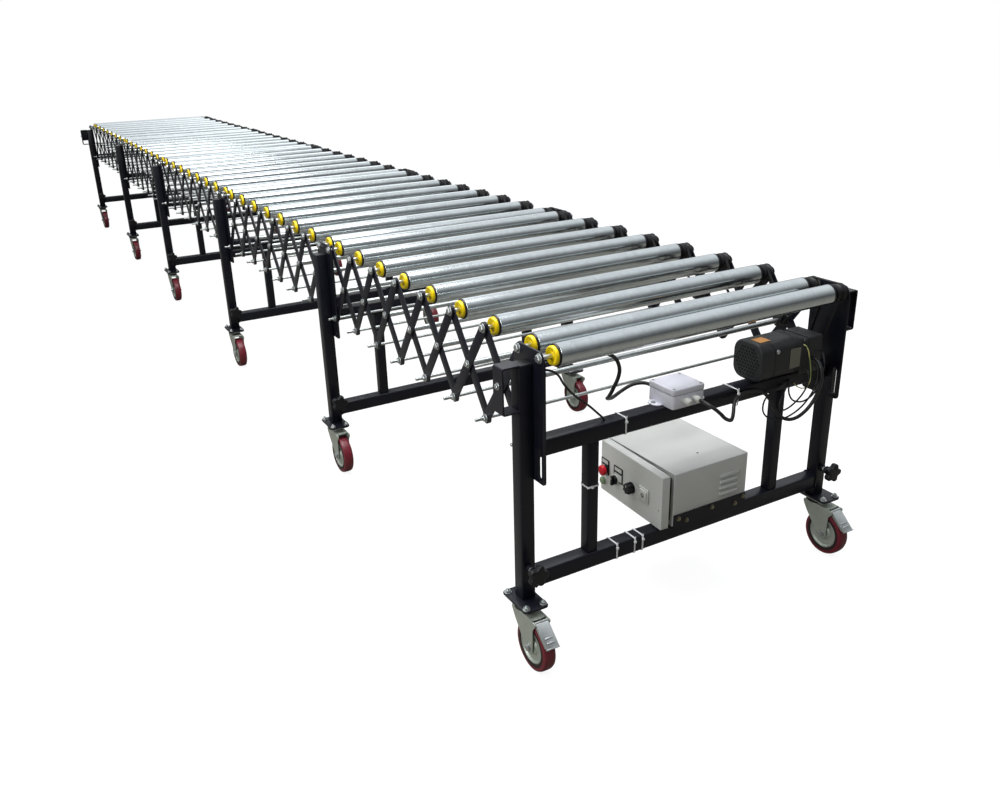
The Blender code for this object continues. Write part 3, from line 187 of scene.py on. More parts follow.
SENSOR_CABLE = (
    (-0.0685, -0.0500, 0.5715),
    (-0.0780, -0.0500, 0.5715),
    (-0.0918, -0.0527, 0.5710),
    (-0.1035, -0.0605, 0.5690),
    (-0.1113, -0.0722, 0.5660),
    (-0.1140, -0.0860, 0.5620),
    (-0.1110, -0.1050, 0.5580),
    (-0.1020, -0.1280, 0.5560),
    (-0.0880, -0.1500, 0.5580),
    (-0.0700, -0.1730, 0.5650),
    (-0.0500, -0.1970, 0.5770),
    (-0.0310, -0.2080, 0.5890),
    (-0.0180, -0.2100, 0.6050),
    (-0.0120, -0.2060, 0.6220),
    (-0.0100, -0.1980, 0.6400),
    (-0.0100, -0.1940, 0.6580),
    (-0.0100, -0.1980, 0.6750),
    (-0.0090, -0.2080, 0.6900),
    (-0.0070, -0.2240, 0.7020),
    (-0.0040, -0.2450, 0.7110),
    (-0.0010, -0.2700, 0.7160),
    (0.0, -0.3000, 0.7180),
    (0.0, -0.3400, 0.7180),
    (0.0, -0.3800, 0.7180),
    (0.0, -0.4100, 0.7180),
    (0.0, -0.4354, 0.7180),
)
SENSOR_LEAD = (
    (0.010, -0.4352, 0.712),
    (0.010, -0.4150, 0.711),
    (0.010, -0.3900, 0.703),
    (0.009, -0.3710, 0.688),
    (0.008, -0.3560, 0.664),
    (0.007, -0.3300, 0.634),
    (0.006, -0.2900, 0.600),
    (0.005, -0.2620, 0.573),
    (0.004, -0.2490, 0.560),
    (0.003, -0.2440, 0.5525),
)
EARTH_LEAD = (
    (0.0452, 0.331, 0.634),
    (0.0530, 0.331, 0.633),
    (0.0600, 0.333, 0.622),
    (0.0640, 0.338, 0.596),
    (0.0650, 0.344, 0.565),
    (0.0620, 0.348, 0.540),
    (0.0550, 0.346, 0.522),
    (0.0420, 0.342, 0.515),
    (0.0300, 0.338, 0.518),
    (0.0205, 0.336, 0.524),
)
WINDING_LEADS = (
    (
        (0.0452, 0.378, 0.572),
        (0.0560, 0.377, 0.566),
        (0.0640, 0.372, 0.545),
        (0.0640, 0.360, 0.510),
        (0.0580, 0.334, 0.474),
        (0.0500, 0.300, 0.452),
        (0.0430, 0.266, 0.447),
        (0.0360, 0.238, 0.457),
        (0.0300, 0.226, 0.476),
        (0.0280, 0.230, 0.500),
        (0.0280, 0.246, 0.516),
        (0.0270, 0.268, 0.524),
        (0.0240, 0.286, 0.527),
        (0.0205, 0.296, 0.528),
    ),
    (
        (0.0452, 0.346, 0.566),
        (0.0540, 0.346, 0.562),
        (0.0600, 0.344, 0.544),
        (0.0590, 0.336, 0.516),
        (0.0530, 0.318, 0.490),
        (0.0460, 0.296, 0.472),
        (0.0400, 0.282, 0.468),
        (0.0360, 0.276, 0.480),
        (0.0340, 0.284, 0.500),
        (0.0300, 0.300, 0.520),
        (0.0250, 0.310, 0.532),
        (0.0205, 0.314, 0.536),
    ),
    (
        (0.0452, 0.392, 0.606),
        (0.0560, 0.391, 0.602),
        (0.0680, 0.386, 0.580),
        (0.0700, 0.378, 0.545),
        (0.0660, 0.362, 0.505),
        (0.0570, 0.336, 0.486),
        (0.0460, 0.312, 0.490),
        (0.0360, 0.306, 0.508),
        (0.0280, 0.312, 0.528),
        (0.0205, 0.318, 0.538),
    ),
)


def linear(code):
    """An sRGB hex colour as the linear RGBA that Blender's shaders take."""
    values = [int(code[k : k + 2], 16) / 255 for k in (1, 3, 5)]
    return (*[v / 12.92 if v <= 0.04045 else ((v + 0.055) / 1.055) ** 2.4 for v in values], 1.0)


def colour_property(name, description, code):
    """A colour that a user can change, with its default as sRGB hex."""
    return bpy.props.FloatVectorProperty(
        name=name, description=description, subtype="COLOR", size=4, min=0, max=1, default=linear(code)
    )


def length_property(name, description, value):
    """A length in metres that a user can change."""
    return bpy.props.FloatProperty(
        name=name, description=description, default=value, unit="LENGTH", subtype="DISTANCE", min=0.001
    )


class ConveyorSizes(bpy.types.PropertyGroup):
    """Sizes that the dressed pieces share with the frame."""

    roller_height: length_property("Roller height", "Height of the rollers' axis", 0.750)
    roller_diameter: length_property("Roller diameter", "Outside of a roller's tube", 0.050)
    roller_length: length_property("Roller length", "Length of a roller's tube", 0.800)
    axle_diameter: length_property("Axle diameter", "Axles and their bolts", 0.010)
    pair_spacing: length_property("Pair spacing", "Between the two rollers of a leg", 0.084)
    link_length: length_property("Link length", "Scissor bar, pivot to pivot", 0.274)
    link_width: length_property("Link width", "Width of a scissor bar", 0.028)
    rod_diameter: length_property("Rod diameter", "Threaded rods at the bottom pivots", 0.008)
    tube_diameter: length_property("Tube diameter", "Spacer tubes at the middle pivots", 0.014)
    post_size: length_property("Post size", "Square tube of the posts", 0.036)
    crossbar_size: length_property("Crossbar size", "Square tube of the crossbars", 0.040)
    upright_size: length_property("Upright size", "Square tube between the crossbars", 0.030)
    wheel_diameter: length_property("Wheel diameter", "Caster wheels", 0.125)


class ConveyorColours(bpy.types.PropertyGroup):
    """Colours of the finishes."""

    coat: colour_property("Powder coat", "Frame, links and brackets", "#0d0e18")
    roller: colour_property("Roller tubes", "Galvanised steel", "#cfd6d8")
    zinc: colour_property("Zinc plate", "Rods, bolts and casters", "#c8cdcd")
    cap: colour_property("Roller caps", "Yellow nylon caps", "#f2d20f")
    black_plastic: colour_property("Black plastic", "Drive heads, rings and knobs", "#0f0f13")
    tread: colour_property("Wheel tread", "Polyurethane of the casters", "#6a1726")
    enamel: colour_property("Control box", "Grey enamel of the case", "#c9cbc8")
    motor: colour_property("Motor", "Dark enamel of the motor", "#222426")
    button: colour_property("Stop button", "Red plastic of the stop button", "#c01528")
    pale_plastic: colour_property("Junction box", "Pale ABS of the cable box", "#d8d8e2")


def sizes():
    """The sizes that the panel shows."""
    return bpy.context.scene.conveyor_sizes


def leg_places():
    """The legs' centres along X, worked back from the middle of the near leg's feet."""
    low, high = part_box("foot_near")
    first = (low[0] + high[0]) / 2 - SWIVEL_AHEAD
    steps = [sizes().pair_spacing + UNITS * pitch for pitch in SECTION_PITCHES]
    return [first - sum(steps[:k]) for k in range(LEG_COUNT)]


# Materials


def add_node(tree, kind, settings=None, **inputs):
    """One shader node with its settings. Inputs are values or sockets to link, by name or as _0, _1."""
    node = tree.nodes.new(kind)
    for key, value in (settings or {}).items():
        setattr(node, key, value)
    for key, value in inputs.items():
        socket = node.inputs[int(key[1:])] if key[1:].isdigit() else node.inputs[key.replace("_", " ")]
        if isinstance(value, bpy.types.NodeSocket):
            tree.links.new(value, socket)
        else:
            socket.default_value = value
    return node


def new_material(name, colour, roughness, metallic=0.0):
    """A material with its shader and object coordinates, ready for its pattern."""
    material = bpy.data.materials.new(name)
    material.use_nodes = True
    tree = material.node_tree
    shader = tree.nodes["Principled BSDF"]
    shader.inputs["Base Color"].default_value = colour
    shader.inputs["Roughness"].default_value = roughness
    shader.inputs["Metallic"].default_value = metallic
    place = add_node(tree, "ShaderNodeTexCoord").outputs["Object"]
    return material, tree, shader, place


def patterned(tree, shader, colour, tone, rough=None, relief=None):
    """Lets patterns drive a shader: each is a socket with what it gives.

    The tone runs between two multiples of the colour, the roughness between two values, and the relief
    raises the surface with a strength and a depth in metres.
    """
    factor, dark, light = tone
    ramp = add_node(tree, "ShaderNodeValToRGB", Fac=factor)
    for element, share in zip(ramp.color_ramp.elements, (dark, light)):
        element.color = (*[min(1.0, c * share) for c in colour[:3]], 1.0)
    tree.links.new(ramp.outputs["Color"], shader.inputs["Base Color"])
    if rough:
        factor, low, high = rough
        spread = add_node(tree, "ShaderNodeMapRange", To_Min=low, To_Max=high, Value=factor)
        tree.links.new(spread.outputs["Result"], shader.inputs["Roughness"])
    if relief:
        height, strength, distance = relief
        skin = add_node(tree, "ShaderNodeBump", Height=height, Strength=strength, Distance=distance)
        tree.links.new(skin.outputs["Normal"], shader.inputs["Normal"])
    return ramp.outputs["Color"]


def powder_coat(colour):
    """Polyester powder coat on steel: orange peel about 1.5 mm across, drawn at 3 mm so that it shows."""
    material, tree, shader, place = new_material("black_powder_coat", colour, 0.36)
    peel = add_node(tree, "ShaderNodeTexNoise", Vector=place, Scale=330.0, Detail=2.0).outputs["Fac"]
    dust = add_node(tree, "ShaderNodeTexNoise", Vector=place, Scale=14.0, Detail=5.0, Roughness=0.65)
    dust = dust.outputs["Fac"]
    patterned(tree, shader, colour, (dust, 0.7, 1.7), (dust, 0.26, 0.48), (peel, 0.25, 0.0004))
    shader.inputs["Specular IOR Level"].default_value = 0.3
    return material


def galvanised_tube(colour):
    """Bright galvanised steel tube, polished round its axis: fine rings, cloudy spangle 12 mm across."""
    material, tree, shader, place = new_material("galvanised_roller", colour, 0.18, 1.0)
    rings = add_node(tree, "ShaderNodeMapping", Vector=place, Scale=(6.0, 420.0, 6.0)).outputs[0]
    marks = add_node(tree, "ShaderNodeTexNoise", Vector=rings, Scale=1.0, Detail=3.0).outputs["Fac"]
    spangle = add_node(tree, "ShaderNodeTexVoronoi", Vector=place, Scale=85.0).outputs["Color"]
    clouds = add_node(tree, "ShaderNodeTexNoise", Vector=place, Scale=9.0, Detail=4.0).outputs["Fac"]
    cells = add_node(tree, "ShaderNodeMix", Factor=0.35, A=clouds, B=spangle).outputs[0]
    patterned(tree, shader, colour, (cells, 0.80, 1.08), (clouds, 0.12, 0.24), (marks, 0.12, 0.0002))
    return material


def zinc_plate(colour):
    """Blue zinc plate on pressed steel: satin with slow grey and warm clouds."""
    material, tree, shader, place = new_material("zinc_plate", colour, 0.36, 1.0)
    clouds = add_node(tree, "ShaderNodeTexNoise", Vector=place, Scale=42.0, Detail=5.0, Roughness=0.6)
    clouds = clouds.outputs["Fac"]
    patterned(tree, shader, colour, (clouds, 0.72, 1.1), (clouds, 0.28, 0.46), (clouds, 0.08, 0.0003))
    return material


def pressed_zinc(colour):
    """Chromated zinc on the casters' pressings: greener and duller than the bolts, with slow clouds."""
    material, tree, shader, place = new_material("pressed_zinc", colour, 0.5, 0.55)
    clouds = add_node(tree, "ShaderNodeTexNoise", Vector=place, Scale=36.0, Detail=5.0, Roughness=0.6)
    clouds = clouds.outputs["Fac"]
    patterned(tree, shader, colour, (clouds, 0.80, 1.1), (clouds, 0.36, 0.54), (clouds, 0.08, 0.0003))
    return material


def yellow_zinc(colour):
    """Yellow passivated zinc on the box's bolts: warm, with grey clouds."""
    material, tree, shader, place = new_material("yellow_zinc", colour, 0.32, 1.0)
    clouds = add_node(tree, "ShaderNodeTexNoise", Vector=place, Scale=90.0, Detail=4.0).outputs["Fac"]
    patterned(tree, shader, colour, (clouds, 0.7, 1.15), (clouds, 0.24, 0.4))
    return material


def moulded(name, colour, roughness, grain, depth=0.0002):
    """Moulded plastic: a fine spark-eroded grain, and handling marks that dull it in patches."""
    material, tree, shader, place = new_material(name, colour, roughness)
    skin = add_node(tree, "ShaderNodeTexNoise", Vector=place, Scale=1.0 / grain, Detail=2.0).outputs["Fac"]
    marks = add_node(tree, "ShaderNodeTexNoise", Vector=place, Scale=30.0, Detail=4.0).outputs["Fac"]
    rough = (marks, roughness - 0.07, roughness + 0.1)
    patterned(tree, shader, colour, (marks, 0.86, 1.1), rough, (skin, 0.15, depth))
    shader.inputs["Specular IOR Level"].default_value = 0.35
    return material


def polyurethane(colour):
    """Cast polyurethane tread: waxy dark red with dust ground into it."""
    material, tree, shader, place = new_material("red_polyurethane", colour, 0.34)
    dust = add_node(tree, "ShaderNodeTexNoise", Vector=place, Scale=60.0, Detail=6.0, Roughness=0.7)
    dust = dust.outputs["Fac"]
    patterned(tree, shader, colour, (dust, 0.65, 1.35), (dust, 0.24, 0.5), (dust, 0.12, 0.0004))
    return material


def stove_enamel(name, colour, roughness, grain):
    """Sprayed stove enamel on sheet steel: fine leather texture with faint smears."""
    material, tree, shader, place = new_material(name, colour, roughness)
    skin = add_node(tree, "ShaderNodeTexVoronoi", Vector=place, Scale=1.0 / grain).outputs["Distance"]
    smears = add_node(tree, "ShaderNodeTexNoise", Vector=place, Scale=11.0, Detail=5.0, Roughness=0.6)
    smears = smears.outputs["Fac"]
    rough = (smears, roughness - 0.08, roughness + 0.12)
    patterned(tree, shader, colour, (smears, 0.9, 1.07), rough, (skin, 0.18, 0.0003))
    return material


def pvc_sheath(name, colour):
    """Extruded PVC sheath: smooth with a slight ripple along the cable."""
    material, tree, shader, place = new_material(name, colour, 0.42)
    ripple = add_node(tree, "ShaderNodeTexNoise", Vector=place, Scale=140.0, Detail=2.0).outputs["Fac"]
    patterned(tree, shader, colour, (ripple, 0.8, 1.25), relief=(ripple, 0.2, 0.0003))
    return material


def earth_wire():
    """Green insulation with a yellow stripe that winds round the wire."""
    material, tree, shader, place = new_material("earth_wire", linear("#8a9a2c"), 0.4)
    wave = add_node(tree, "ShaderNodeTexWave", Vector=place, Scale=26.0, Distortion=1.0)
    ramp = add_node(tree, "ShaderNodeValToRGB", Fac=wave.outputs["Fac"])
    ramp.color_ramp.interpolation = "CONSTANT"
    green, yellow = ramp.color_ramp.elements
    green.color = linear("#7f9150")
    yellow.position = 0.45
    yellow.color = linear("#c2bf76")
    tree.links.new(ramp.outputs["Color"], shader.inputs["Base Color"])
    return material


def make_finishes():
    """Every finish of the conveyor by name."""
    c = bpy.context.scene.conveyor_colours
    return {
        "coat": powder_coat(tuple(c.coat)),
        "roller": galvanised_tube(tuple(c.roller)),
        "zinc": zinc_plate(tuple(c.zinc)),
        "cap": moulded("yellow_nylon", tuple(c.cap), 0.36, 0.002),
        "black": moulded("black_nylon", tuple(c.black_plastic), 0.40, 0.002),
        "rubber": moulded("belt_rubber", linear("#101012"), 0.60, 0.003, 0.0004),
        "tread": polyurethane(tuple(c.tread)),
        "tread_edge": moulded("tread_edge", linear("#2a1a1c"), 0.5, 0.002),
        "enamel": stove_enamel("grey_stove_enamel", tuple(c.enamel), 0.42, 0.0022),
        "motor": stove_enamel("motor_enamel", tuple(c.motor), 0.50, 0.0020),
        "button": moulded("red_button_plastic", tuple(c.button), 0.28, 0.002),
        "pale": moulded("pale_abs", tuple(c.pale_plastic), 0.40, 0.002),
        "white": moulded("white_nylon", linear("#ececef"), 0.42, 0.002),
        "cable": pvc_sheath("black_pvc", linear("#121214")),
        "earth": earth_wire(),
        "brass": yellow_zinc(linear("#8c8574")),
        "pressed": pressed_zinc(linear("#b4bcb2")),
        "label": moulded("blank_label", linear("#c9cbc6"), 0.45, 0.002),
        "plate": moulded("rating_plate", linear("#77766a"), 0.45, 0.002),
        "caution": moulded("caution_label", linear("#c58a48"), 0.45, 0.002),
        "latch": stove_enamel("latch_enamel", linear("#c6c8c4"), 0.34, 0.0020),
        "lamp": moulded("lamp_lens", linear("#7d9274"), 0.25, 0.002),
        # Painted shade: a near-black finish for holes, slits and gaps, standing for the shade inside them.
        "dark": moulded("shadow_gap", linear("#0b0b0c"), 0.8, 0.003),
    }


FINISHES = {}

# Outlines


def circle(radius, steps, centre=(0.0, 0.0)):
    """Points on a circle: the angle runs once round in equal steps."""
    angle = np.linspace(0, 2 * np.pi, steps, endpoint=False)
    return np.stack([centre[0] + radius * np.cos(angle), centre[1] + radius * np.sin(angle)], axis=1)


def rounded_rectangle(width, height, radius, centre=(0.0, 0.0), parts=3):
    """A rectangle whose corners are quarter circles: each corner's centre plus its arc."""
    quarter = np.linspace(0, np.pi / 2, parts + 1)
    angle = (np.arange(4)[:, None] * np.pi / 2 + quarter[None, :]).ravel()
    signs = np.repeat(np.array([(1, 1), (-1, 1), (-1, -1), (1, -1)], dtype=float), parts + 1, axis=0)
    middle = np.array([width / 2 - radius, height / 2 - radius])
    return signs * middle + radius * np.stack([np.cos(angle), np.sin(angle)], axis=1) + np.array(centre)


def loop_round(start, end, start_radius, end_radius, parts=8):
    """The line round two circles: an arc at each, joined by their outer tangents.

    The tangents leave at the angle whose cosine is the difference of the radii over the distance.
    """
    start, end = np.array(start, dtype=float), np.array(end, dtype=float)
    along = end - start
    heading = math.atan2(along[1], along[0])
    open_angle = math.acos((start_radius - end_radius) / np.hypot(*along))
    back = np.linspace(heading + open_angle, heading + 2 * np.pi - open_angle, parts + 1)
    front = np.linspace(heading - open_angle, heading + open_angle, parts + 1)
    first = start + start_radius * np.stack([np.cos(back), np.sin(back)], axis=1)
    second = end + end_radius * np.stack([np.cos(front), np.sin(front)], axis=1)
    return np.concatenate([first, second])


def star(radius, lobes, depth, steps, centre=(0.0, 0.0)):
    """A lobed outline: the radius shrinks by up to depth between the lobes, as a power of a cosine."""
    angle = np.linspace(0, 2 * np.pi, steps, endpoint=False)
    swell = 1 - depth * (0.5 - 0.5 * np.cos(lobes * angle)) ** 1.6
    ring = radius * swell[:, None] * np.stack([np.cos(angle), np.sin(angle)], axis=1)
    return ring + np.array(centre)


def eased(corners, radius, parts=4):
    """A polygon with its corners rounded: each corner is a curve that bends from edge to edge."""
    rounded = []
    for before, corner, after in zip(np.roll(corners, 1, axis=0), corners, np.roll(corners, -1, axis=0)):
        into, out = before - corner, after - corner
        reach = min(radius, 0.45 * min(np.hypot(*into), np.hypot(*out)))
        start, end = corner + into / np.hypot(*into) * reach, corner + out / np.hypot(*out) * reach
        t = np.linspace(0, 1, parts + 1)[:, None]
        rounded.append((1 - t) ** 2 * start + 2 * t * (1 - t) * corner + t**2 * end)
    return np.concatenate(rounded)


def outward(outline):
    """Each corner's outward miter: the sum of its two edge normals over one plus their product."""
    edge = np.roll(outline, -1, axis=0) - outline
    normal = np.stack([edge[:, 1], -edge[:, 0]], axis=1)
    normal /= np.maximum(np.hypot(*normal.T), 1e-9)[:, None]
    area = np.sum(outline[:, 0] * np.roll(outline[:, 1], -1) - outline[:, 1] * np.roll(outline[:, 0], -1))
    before = np.roll(normal, 1, axis=0)
    product = np.maximum(1 + np.sum(before * normal, axis=1), 0.35)
    return np.sign(area) * (before + normal) / product[:, None]


def set_along(flat, depth, axis):
    """Flat points and a depth as 3-D points: the depth runs along the axis, the rest keep X, Y, Z order."""
    depth = np.broadcast_to(np.asarray(depth, dtype=float), flat.shape[:-1])
    order = {"X": (2, 0, 1), "Y": (0, 2, 1), "Z": (0, 1, 2)}[axis]
    stacked = np.stack([flat[..., 0], flat[..., 1], depth], axis=-1)
    return stacked[..., order]


class Surfaces:
    """Grids of points gathered into one mesh, each with its finish."""

    def __init__(self):
        self.points = []
        self.faces = []
        self.marks = []
        self.used = []
        self.total = 0

    def mark(self, finish, count):
        """Notes the finish of the next faces."""
        if finish not in self.used:
            self.used.append(finish)
        self.marks += [self.used.index(finish)] * count

    def grid(self, points, finish, loop=False):
        """Quads between neighbours of a grid. Columns close on themselves, and rows do too or get caps."""
        rows, columns = points.shape[:2]
        index = np.arange(rows * columns).reshape(rows, columns) + self.total
        if loop:
            index = np.vstack([index, index[:1]])
        right = np.roll(index, -1, axis=1)
        quads = np.stack([index[:-1], right[:-1], right[1:], index[1:]], axis=-1).reshape(-1, 4)
        self.faces += quads.tolist()
        self.mark(finish, len(quads))
        if not loop:
            self.faces += [index[0].tolist(), index[-1].tolist()]
            self.mark(finish, 2)
        self.points.append(points.reshape(-1, 3))
        self.total += rows * columns

    def loose(self, points, faces, finish):
        """A ready mesh."""
        self.points.append(points)
        self.faces += [[k + self.total for k in face] for face in faces]
        self.mark(finish, len(faces))
        self.total += len(points)

    def slab(self, outline, start, end, axis, finish, bevel=0.0008, parts=2, turn=None):
        """An outline carried along an axis. The inset and the depth of its rims follow a quarter circle."""
        low, high = sorted((start, end))
        angle = np.linspace(0, np.pi / 2, parts + 1)
        inset, rise = bevel * (1 - np.sin(angle)), bevel * (1 - np.cos(angle))
        insets = np.concatenate([inset, inset[::-1]])
        depths = np.concatenate([low + rise, (high - rise)[::-1]])
        flat = outline[None] - insets[:, None, None] * outward(outline)[None]
        points = set_along(flat, depths[:, None], axis)
        self.grid(points if turn is None else turn(points), finish)

    def turned(self, profile, centre, axis, finish, steps, loop=False):
        """A profile of radius and place along the axis, both from the centre, turned once round the axis."""
        profile = np.asarray(profile, dtype=float)
        flat = profile[:, None, :1] * circle(1.0, steps)[None]
        self.grid(set_along(flat, profile[:, None, 1], axis) + np.array(centre), finish, loop)

    def band(self, outer, inner, start, end, axis, finish):
        """A closed strip: the loop outside, out to the far edge, back along the loop inside."""
        low, high = sorted((start, end))
        rows = [set_along(outer, low, axis), set_along(outer, high, axis)]
        rows += [set_along(inner, high, axis), set_along(inner, low, axis)]
        self.grid(np.stack(rows), finish, loop=True)

    def box(self, low, high, radius, finish, axis="Z", bevel=None):
        """A block between two corners with rounded edges along one axis and softer rims."""
        low, high = np.array(low, dtype=float), np.array(high, dtype=float)
        keep = [k for k in range(3) if "XYZ"[k] != axis]
        size, middle = (high - low)[keep], ((high + low) / 2)[keep]
        outline = rounded_rectangle(size[0], size[1], radius, middle)
        depth = "XYZ".index(axis)
        self.slab(outline, low[depth], high[depth], axis, finish, radius if bevel is None else bevel)

    def block(self, middle, half, low, high, radius, finish, bevel):
        """A block about an upright line, from its half sizes across and its two heights."""
        (x, y), (dx, dy) = middle, half
        self.box((x - dx, y - dy, low), (x + dx, y + dy, high), radius, finish, "Z", bevel)

    def bar(self, start, end, size, finish, axis, radius=0.004):
        """A square tube between two points along an axis, with the corner radius of drawn tube."""
        half = size / 2
        low, high = np.minimum(start, end).astype(float), np.maximum(start, end).astype(float)
        for k in range(3):
            if "XYZ"[k] != axis:
                low[k] -= half
                high[k] += half
        self.box(low, high, radius, finish, axis, 0.0008)

    def bolt(self, centre, axis, sign, size, finish="zinc", washer=True):
        """A hexagon head of a radius and height on a washer, standing on a face that looks along the axis."""
        place = "XYZ".index(axis)
        flat = np.delete(np.array(centre, dtype=float), place)
        base = centre[place]
        radius, height = size
        if washer:
            self.slab(circle(radius * 1.32, 16, flat), base, base + sign * 0.0016, axis, finish, 0.0004, 1)
            base += sign * 0.0015
        self.slab(circle(radius, 6, flat), base, base + sign * height, axis, finish, 0.0007, 1)

    def rod(self, start, end, radius, axis, finish="zinc", steps=16):
        """A round bar with eased ends between two points along an axis."""
        place = "XYZ".index(axis)
        flat = np.delete(np.array(start, dtype=float), place)
        self.slab(circle(radius, steps, flat), start[place], end[place], axis, finish, 0.0006, 1)

    def piece(self, name, body, slot, *nodes, place=None):
        """The mesh as a piece that rides on a body and stands for the named nodes, first moved by place."""
        mesh = bpy.data.meshes.new(name)
        mesh.from_pydata(np.concatenate(self.points).tolist(), [], self.faces)
        if place is not None:
            mesh.transform(place)
        for finish in self.used:
            mesh.materials.append(FINISHES[finish])
        mesh.polygons.foreach_set("material_index", self.marks)
        shape = bmesh.new()
        shape.from_mesh(mesh)
        bmesh.ops.recalc_face_normals(shape, faces=shape.faces)
        shape.to_mesh(mesh)
        shape.free()
        mesh.shade_smooth()
        mesh.set_sharp_from_angle(angle=SHARP_ANGLE)
        item = bpy.data.objects.new(name, mesh)
        bpy.context.scene.collection.objects.link(item)
        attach(item, body)
        if nodes:
            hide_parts(*nodes)


# Cables


def smooth_route(points, spacing):
    """Points on a smooth curve through the given ones: each span blends its four nearest points."""
    points = [Vector(p) for p in points]
    ends = [2 * points[0] - points[1], *points, 2 * points[-1] - points[-2]]
    route = [points[0]]
    for a, b, c, d in zip(ends, ends[1:], ends[2:], ends[3:]):
        parts = max(1, round((c - b).length / spacing))
        for k in range(1, parts + 1):
            t = k / parts
            square, cube = t * t, t * t * t
            line = 2 * b + (c - a) * t
            bend = (2 * a - 5 * b + 4 * c - d) * square + (3 * b - 3 * c + d - a) * cube
            route.append(0.5 * (line + bend))
    return route


def cable(name, points, radius, finish, nodes=()):
    """A cable of leg 1 along a route, laid as a round curve that rides on the control leg."""
    route = smooth_route(points, 0.007)
    curve = bpy.data.curves.new(name, "CURVE")
    curve.dimensions = "3D"
    curve.bevel_depth = radius
    curve.bevel_resolution = 3
    curve.use_fill_caps = True
    spline = curve.splines.new("POLY")
    spline.points.add(len(route) - 1)
    spline.points.foreach_set("co", np.array([(*p, 1) for p in route]).ravel())
    spline.use_smooth = True
    curve.materials.append(FINISHES[finish])
    item = bpy.data.objects.new(name, curve)
    bpy.context.scene.collection.objects.link(item)
    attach(item, "control_leg")
    if nodes:
        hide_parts(*nodes)


# Pieces of the scissor frame


def roller(s, x):
    """A roller: galvanised tube, black ring with its yellow cap near, ribbed drive head far."""
    radius, half = sizes().roller_diameter / 2, sizes().roller_length / 2
    height = sizes().roller_height
    ease = 0.0006
    tube = [(radius - ease, -half), (radius, -half + ease), (radius, half - ease), (radius - ease, half)]
    s.turned(tube, (x, ROLLER_MIDDLE, height), "Y", "roller", 48)
    near_end = (x, ROLLER_MIDDLE - half, height)
    ring = [(0.0200, 0.001), (0.0200, -0.0028), (0.0216, -0.0044), (0.0238, -0.0044)]
    ring += [(0.0247, -0.0030), (0.0247, 0.001)]
    s.turned(ring, near_end, "Y", "black", 40, loop=True)
    cap = [(0.0215, -0.0030), (0.0214, -0.0096), (0.0204, -0.0118), (0.0186, -0.0124), (0.0166, -0.0116)]
    cap += [(0.0118, -0.0088), (0.0092, -0.0084), (0.0084, -0.0100), (0.0054, -0.0100)]
    s.turned(cap, near_end, "Y", "cap", 40)
    collar = [(0.0244, -0.001), (0.0249, 0.0006), (0.0249, 0.0052), (0.0230, 0.0068), (0.0200, 0.0080)]
    flange = [(0.0200, 0.0112), (0.0230, 0.0118), (0.0230, 0.0130)]
    places = np.linspace(0.0142, 0.0430, 25)
    ribs = [(HEAD_RADIUS if k % 2 == 0 else 0.0198, place) for k, place in enumerate(places)]
    end = [(0.0230, 0.0438), (0.0230, 0.0452), (0.0205, HEAD_LENGTH), (0.0070, HEAD_LENGTH)]
    s.turned(collar + flange + ribs + end, (x, ROLLER_MIDDLE + half, height), "Y", "black", 40)


def link_bar(s, top, bottom, low):
    """A flat bar with round ends between two pivots, from its inner face out."""
    half = sizes().link_width / 2
    outline = loop_round(top, bottom, half, half, 10)
    for side in SIDES:
        s.slab(outline, side * low, side * (low + LINK_THICKNESS), "Y", "coat", 0.0007)


def bottom_rod(s, x, z, face):
    """A threaded rod through the bottom pivots, with its nuts on the two outside faces."""
    reach = LINK_FACE + 0.028
    s.rod((x, -reach, z), (x, reach, z), sizes().rod_diameter / 2, "Y")
    for side in SIDES:
        s.bolt((x, side * face, z), "Y", side, ROD_NUT)


def middle_tube(s, x, z):
    """A spacer tube with its bolts through the middle pivots."""
    inside = INNER_LINK + 0.001
    s.rod((x, -inside, z), (x, inside, z), sizes().tube_diameter / 2, "Y", steps=20)
    for side in SIDES:
        stub = ((x, side * INNER_LINK, z), (x, side * (LINK_FACE + 0.003), z))
        s.rod(*stub, sizes().rod_diameter / 2, "Y")
        s.bolt((x, side * (LINK_FACE + SEAT_GAP), z), "Y", side, PIVOT_NUT)


def axle(s, x, face):
    """An axle across the conveyor, with its bolt heads on the two outside faces."""
    z = sizes().roller_height
    reach = face + 0.001
    s.rod((x, -reach, z), (x, reach, z), sizes().axle_diameter / 2, "Y")
    for side in SIDES:
        s.bolt((x, side * face, z), "Y", side, AXLE_BOLT)


def belt(s, start, end, start_radius, end_radius, lane):
    """A drive belt round two pulleys, in one of three lanes."""
    outer = loop_round(start, end, start_radius + BELT_THICKNESS, end_radius + BELT_THICKNESS, 12)
    inner = loop_round(start, end, start_radius, end_radius, 12)
    middle = ROLLER_MIDDLE + FIRST_LANE + LANE_STEP * lane
    s.band(outer, inner, middle - BELT_WIDTH / 2, middle + BELT_WIDTH / 2, "Y", "rubber")


def belts_of_unit(outer, inner, near, far, middle):
    """The two belts from a unit's rollers to the pulley between them, one on each pair of bars."""
    axis = sizes().roller_height
    centre = ((near + far) / 2, middle)
    belt(outer, (near, axis), centre, HEAD_RADIUS, IDLER_RADIUS, 0)
    belt(inner, (far, axis), centre, HEAD_RADIUS, IDLER_RADIUS, 1)


def idler(s, x, z):
    """The belt pulley on a middle pivot."""
    start, end, rim = 0.4130, 0.4340, 0.0158
    profile = [(rim, start - 0.0014), (rim, start), (IDLER_RADIUS, start + 0.0006)]
    profile += [(IDLER_RADIUS, end - 0.0006), (rim, end), (rim, end + 0.0014)]
    s.turned(profile, (x, ROLLER_MIDDLE, z), "Y", "black", 24)


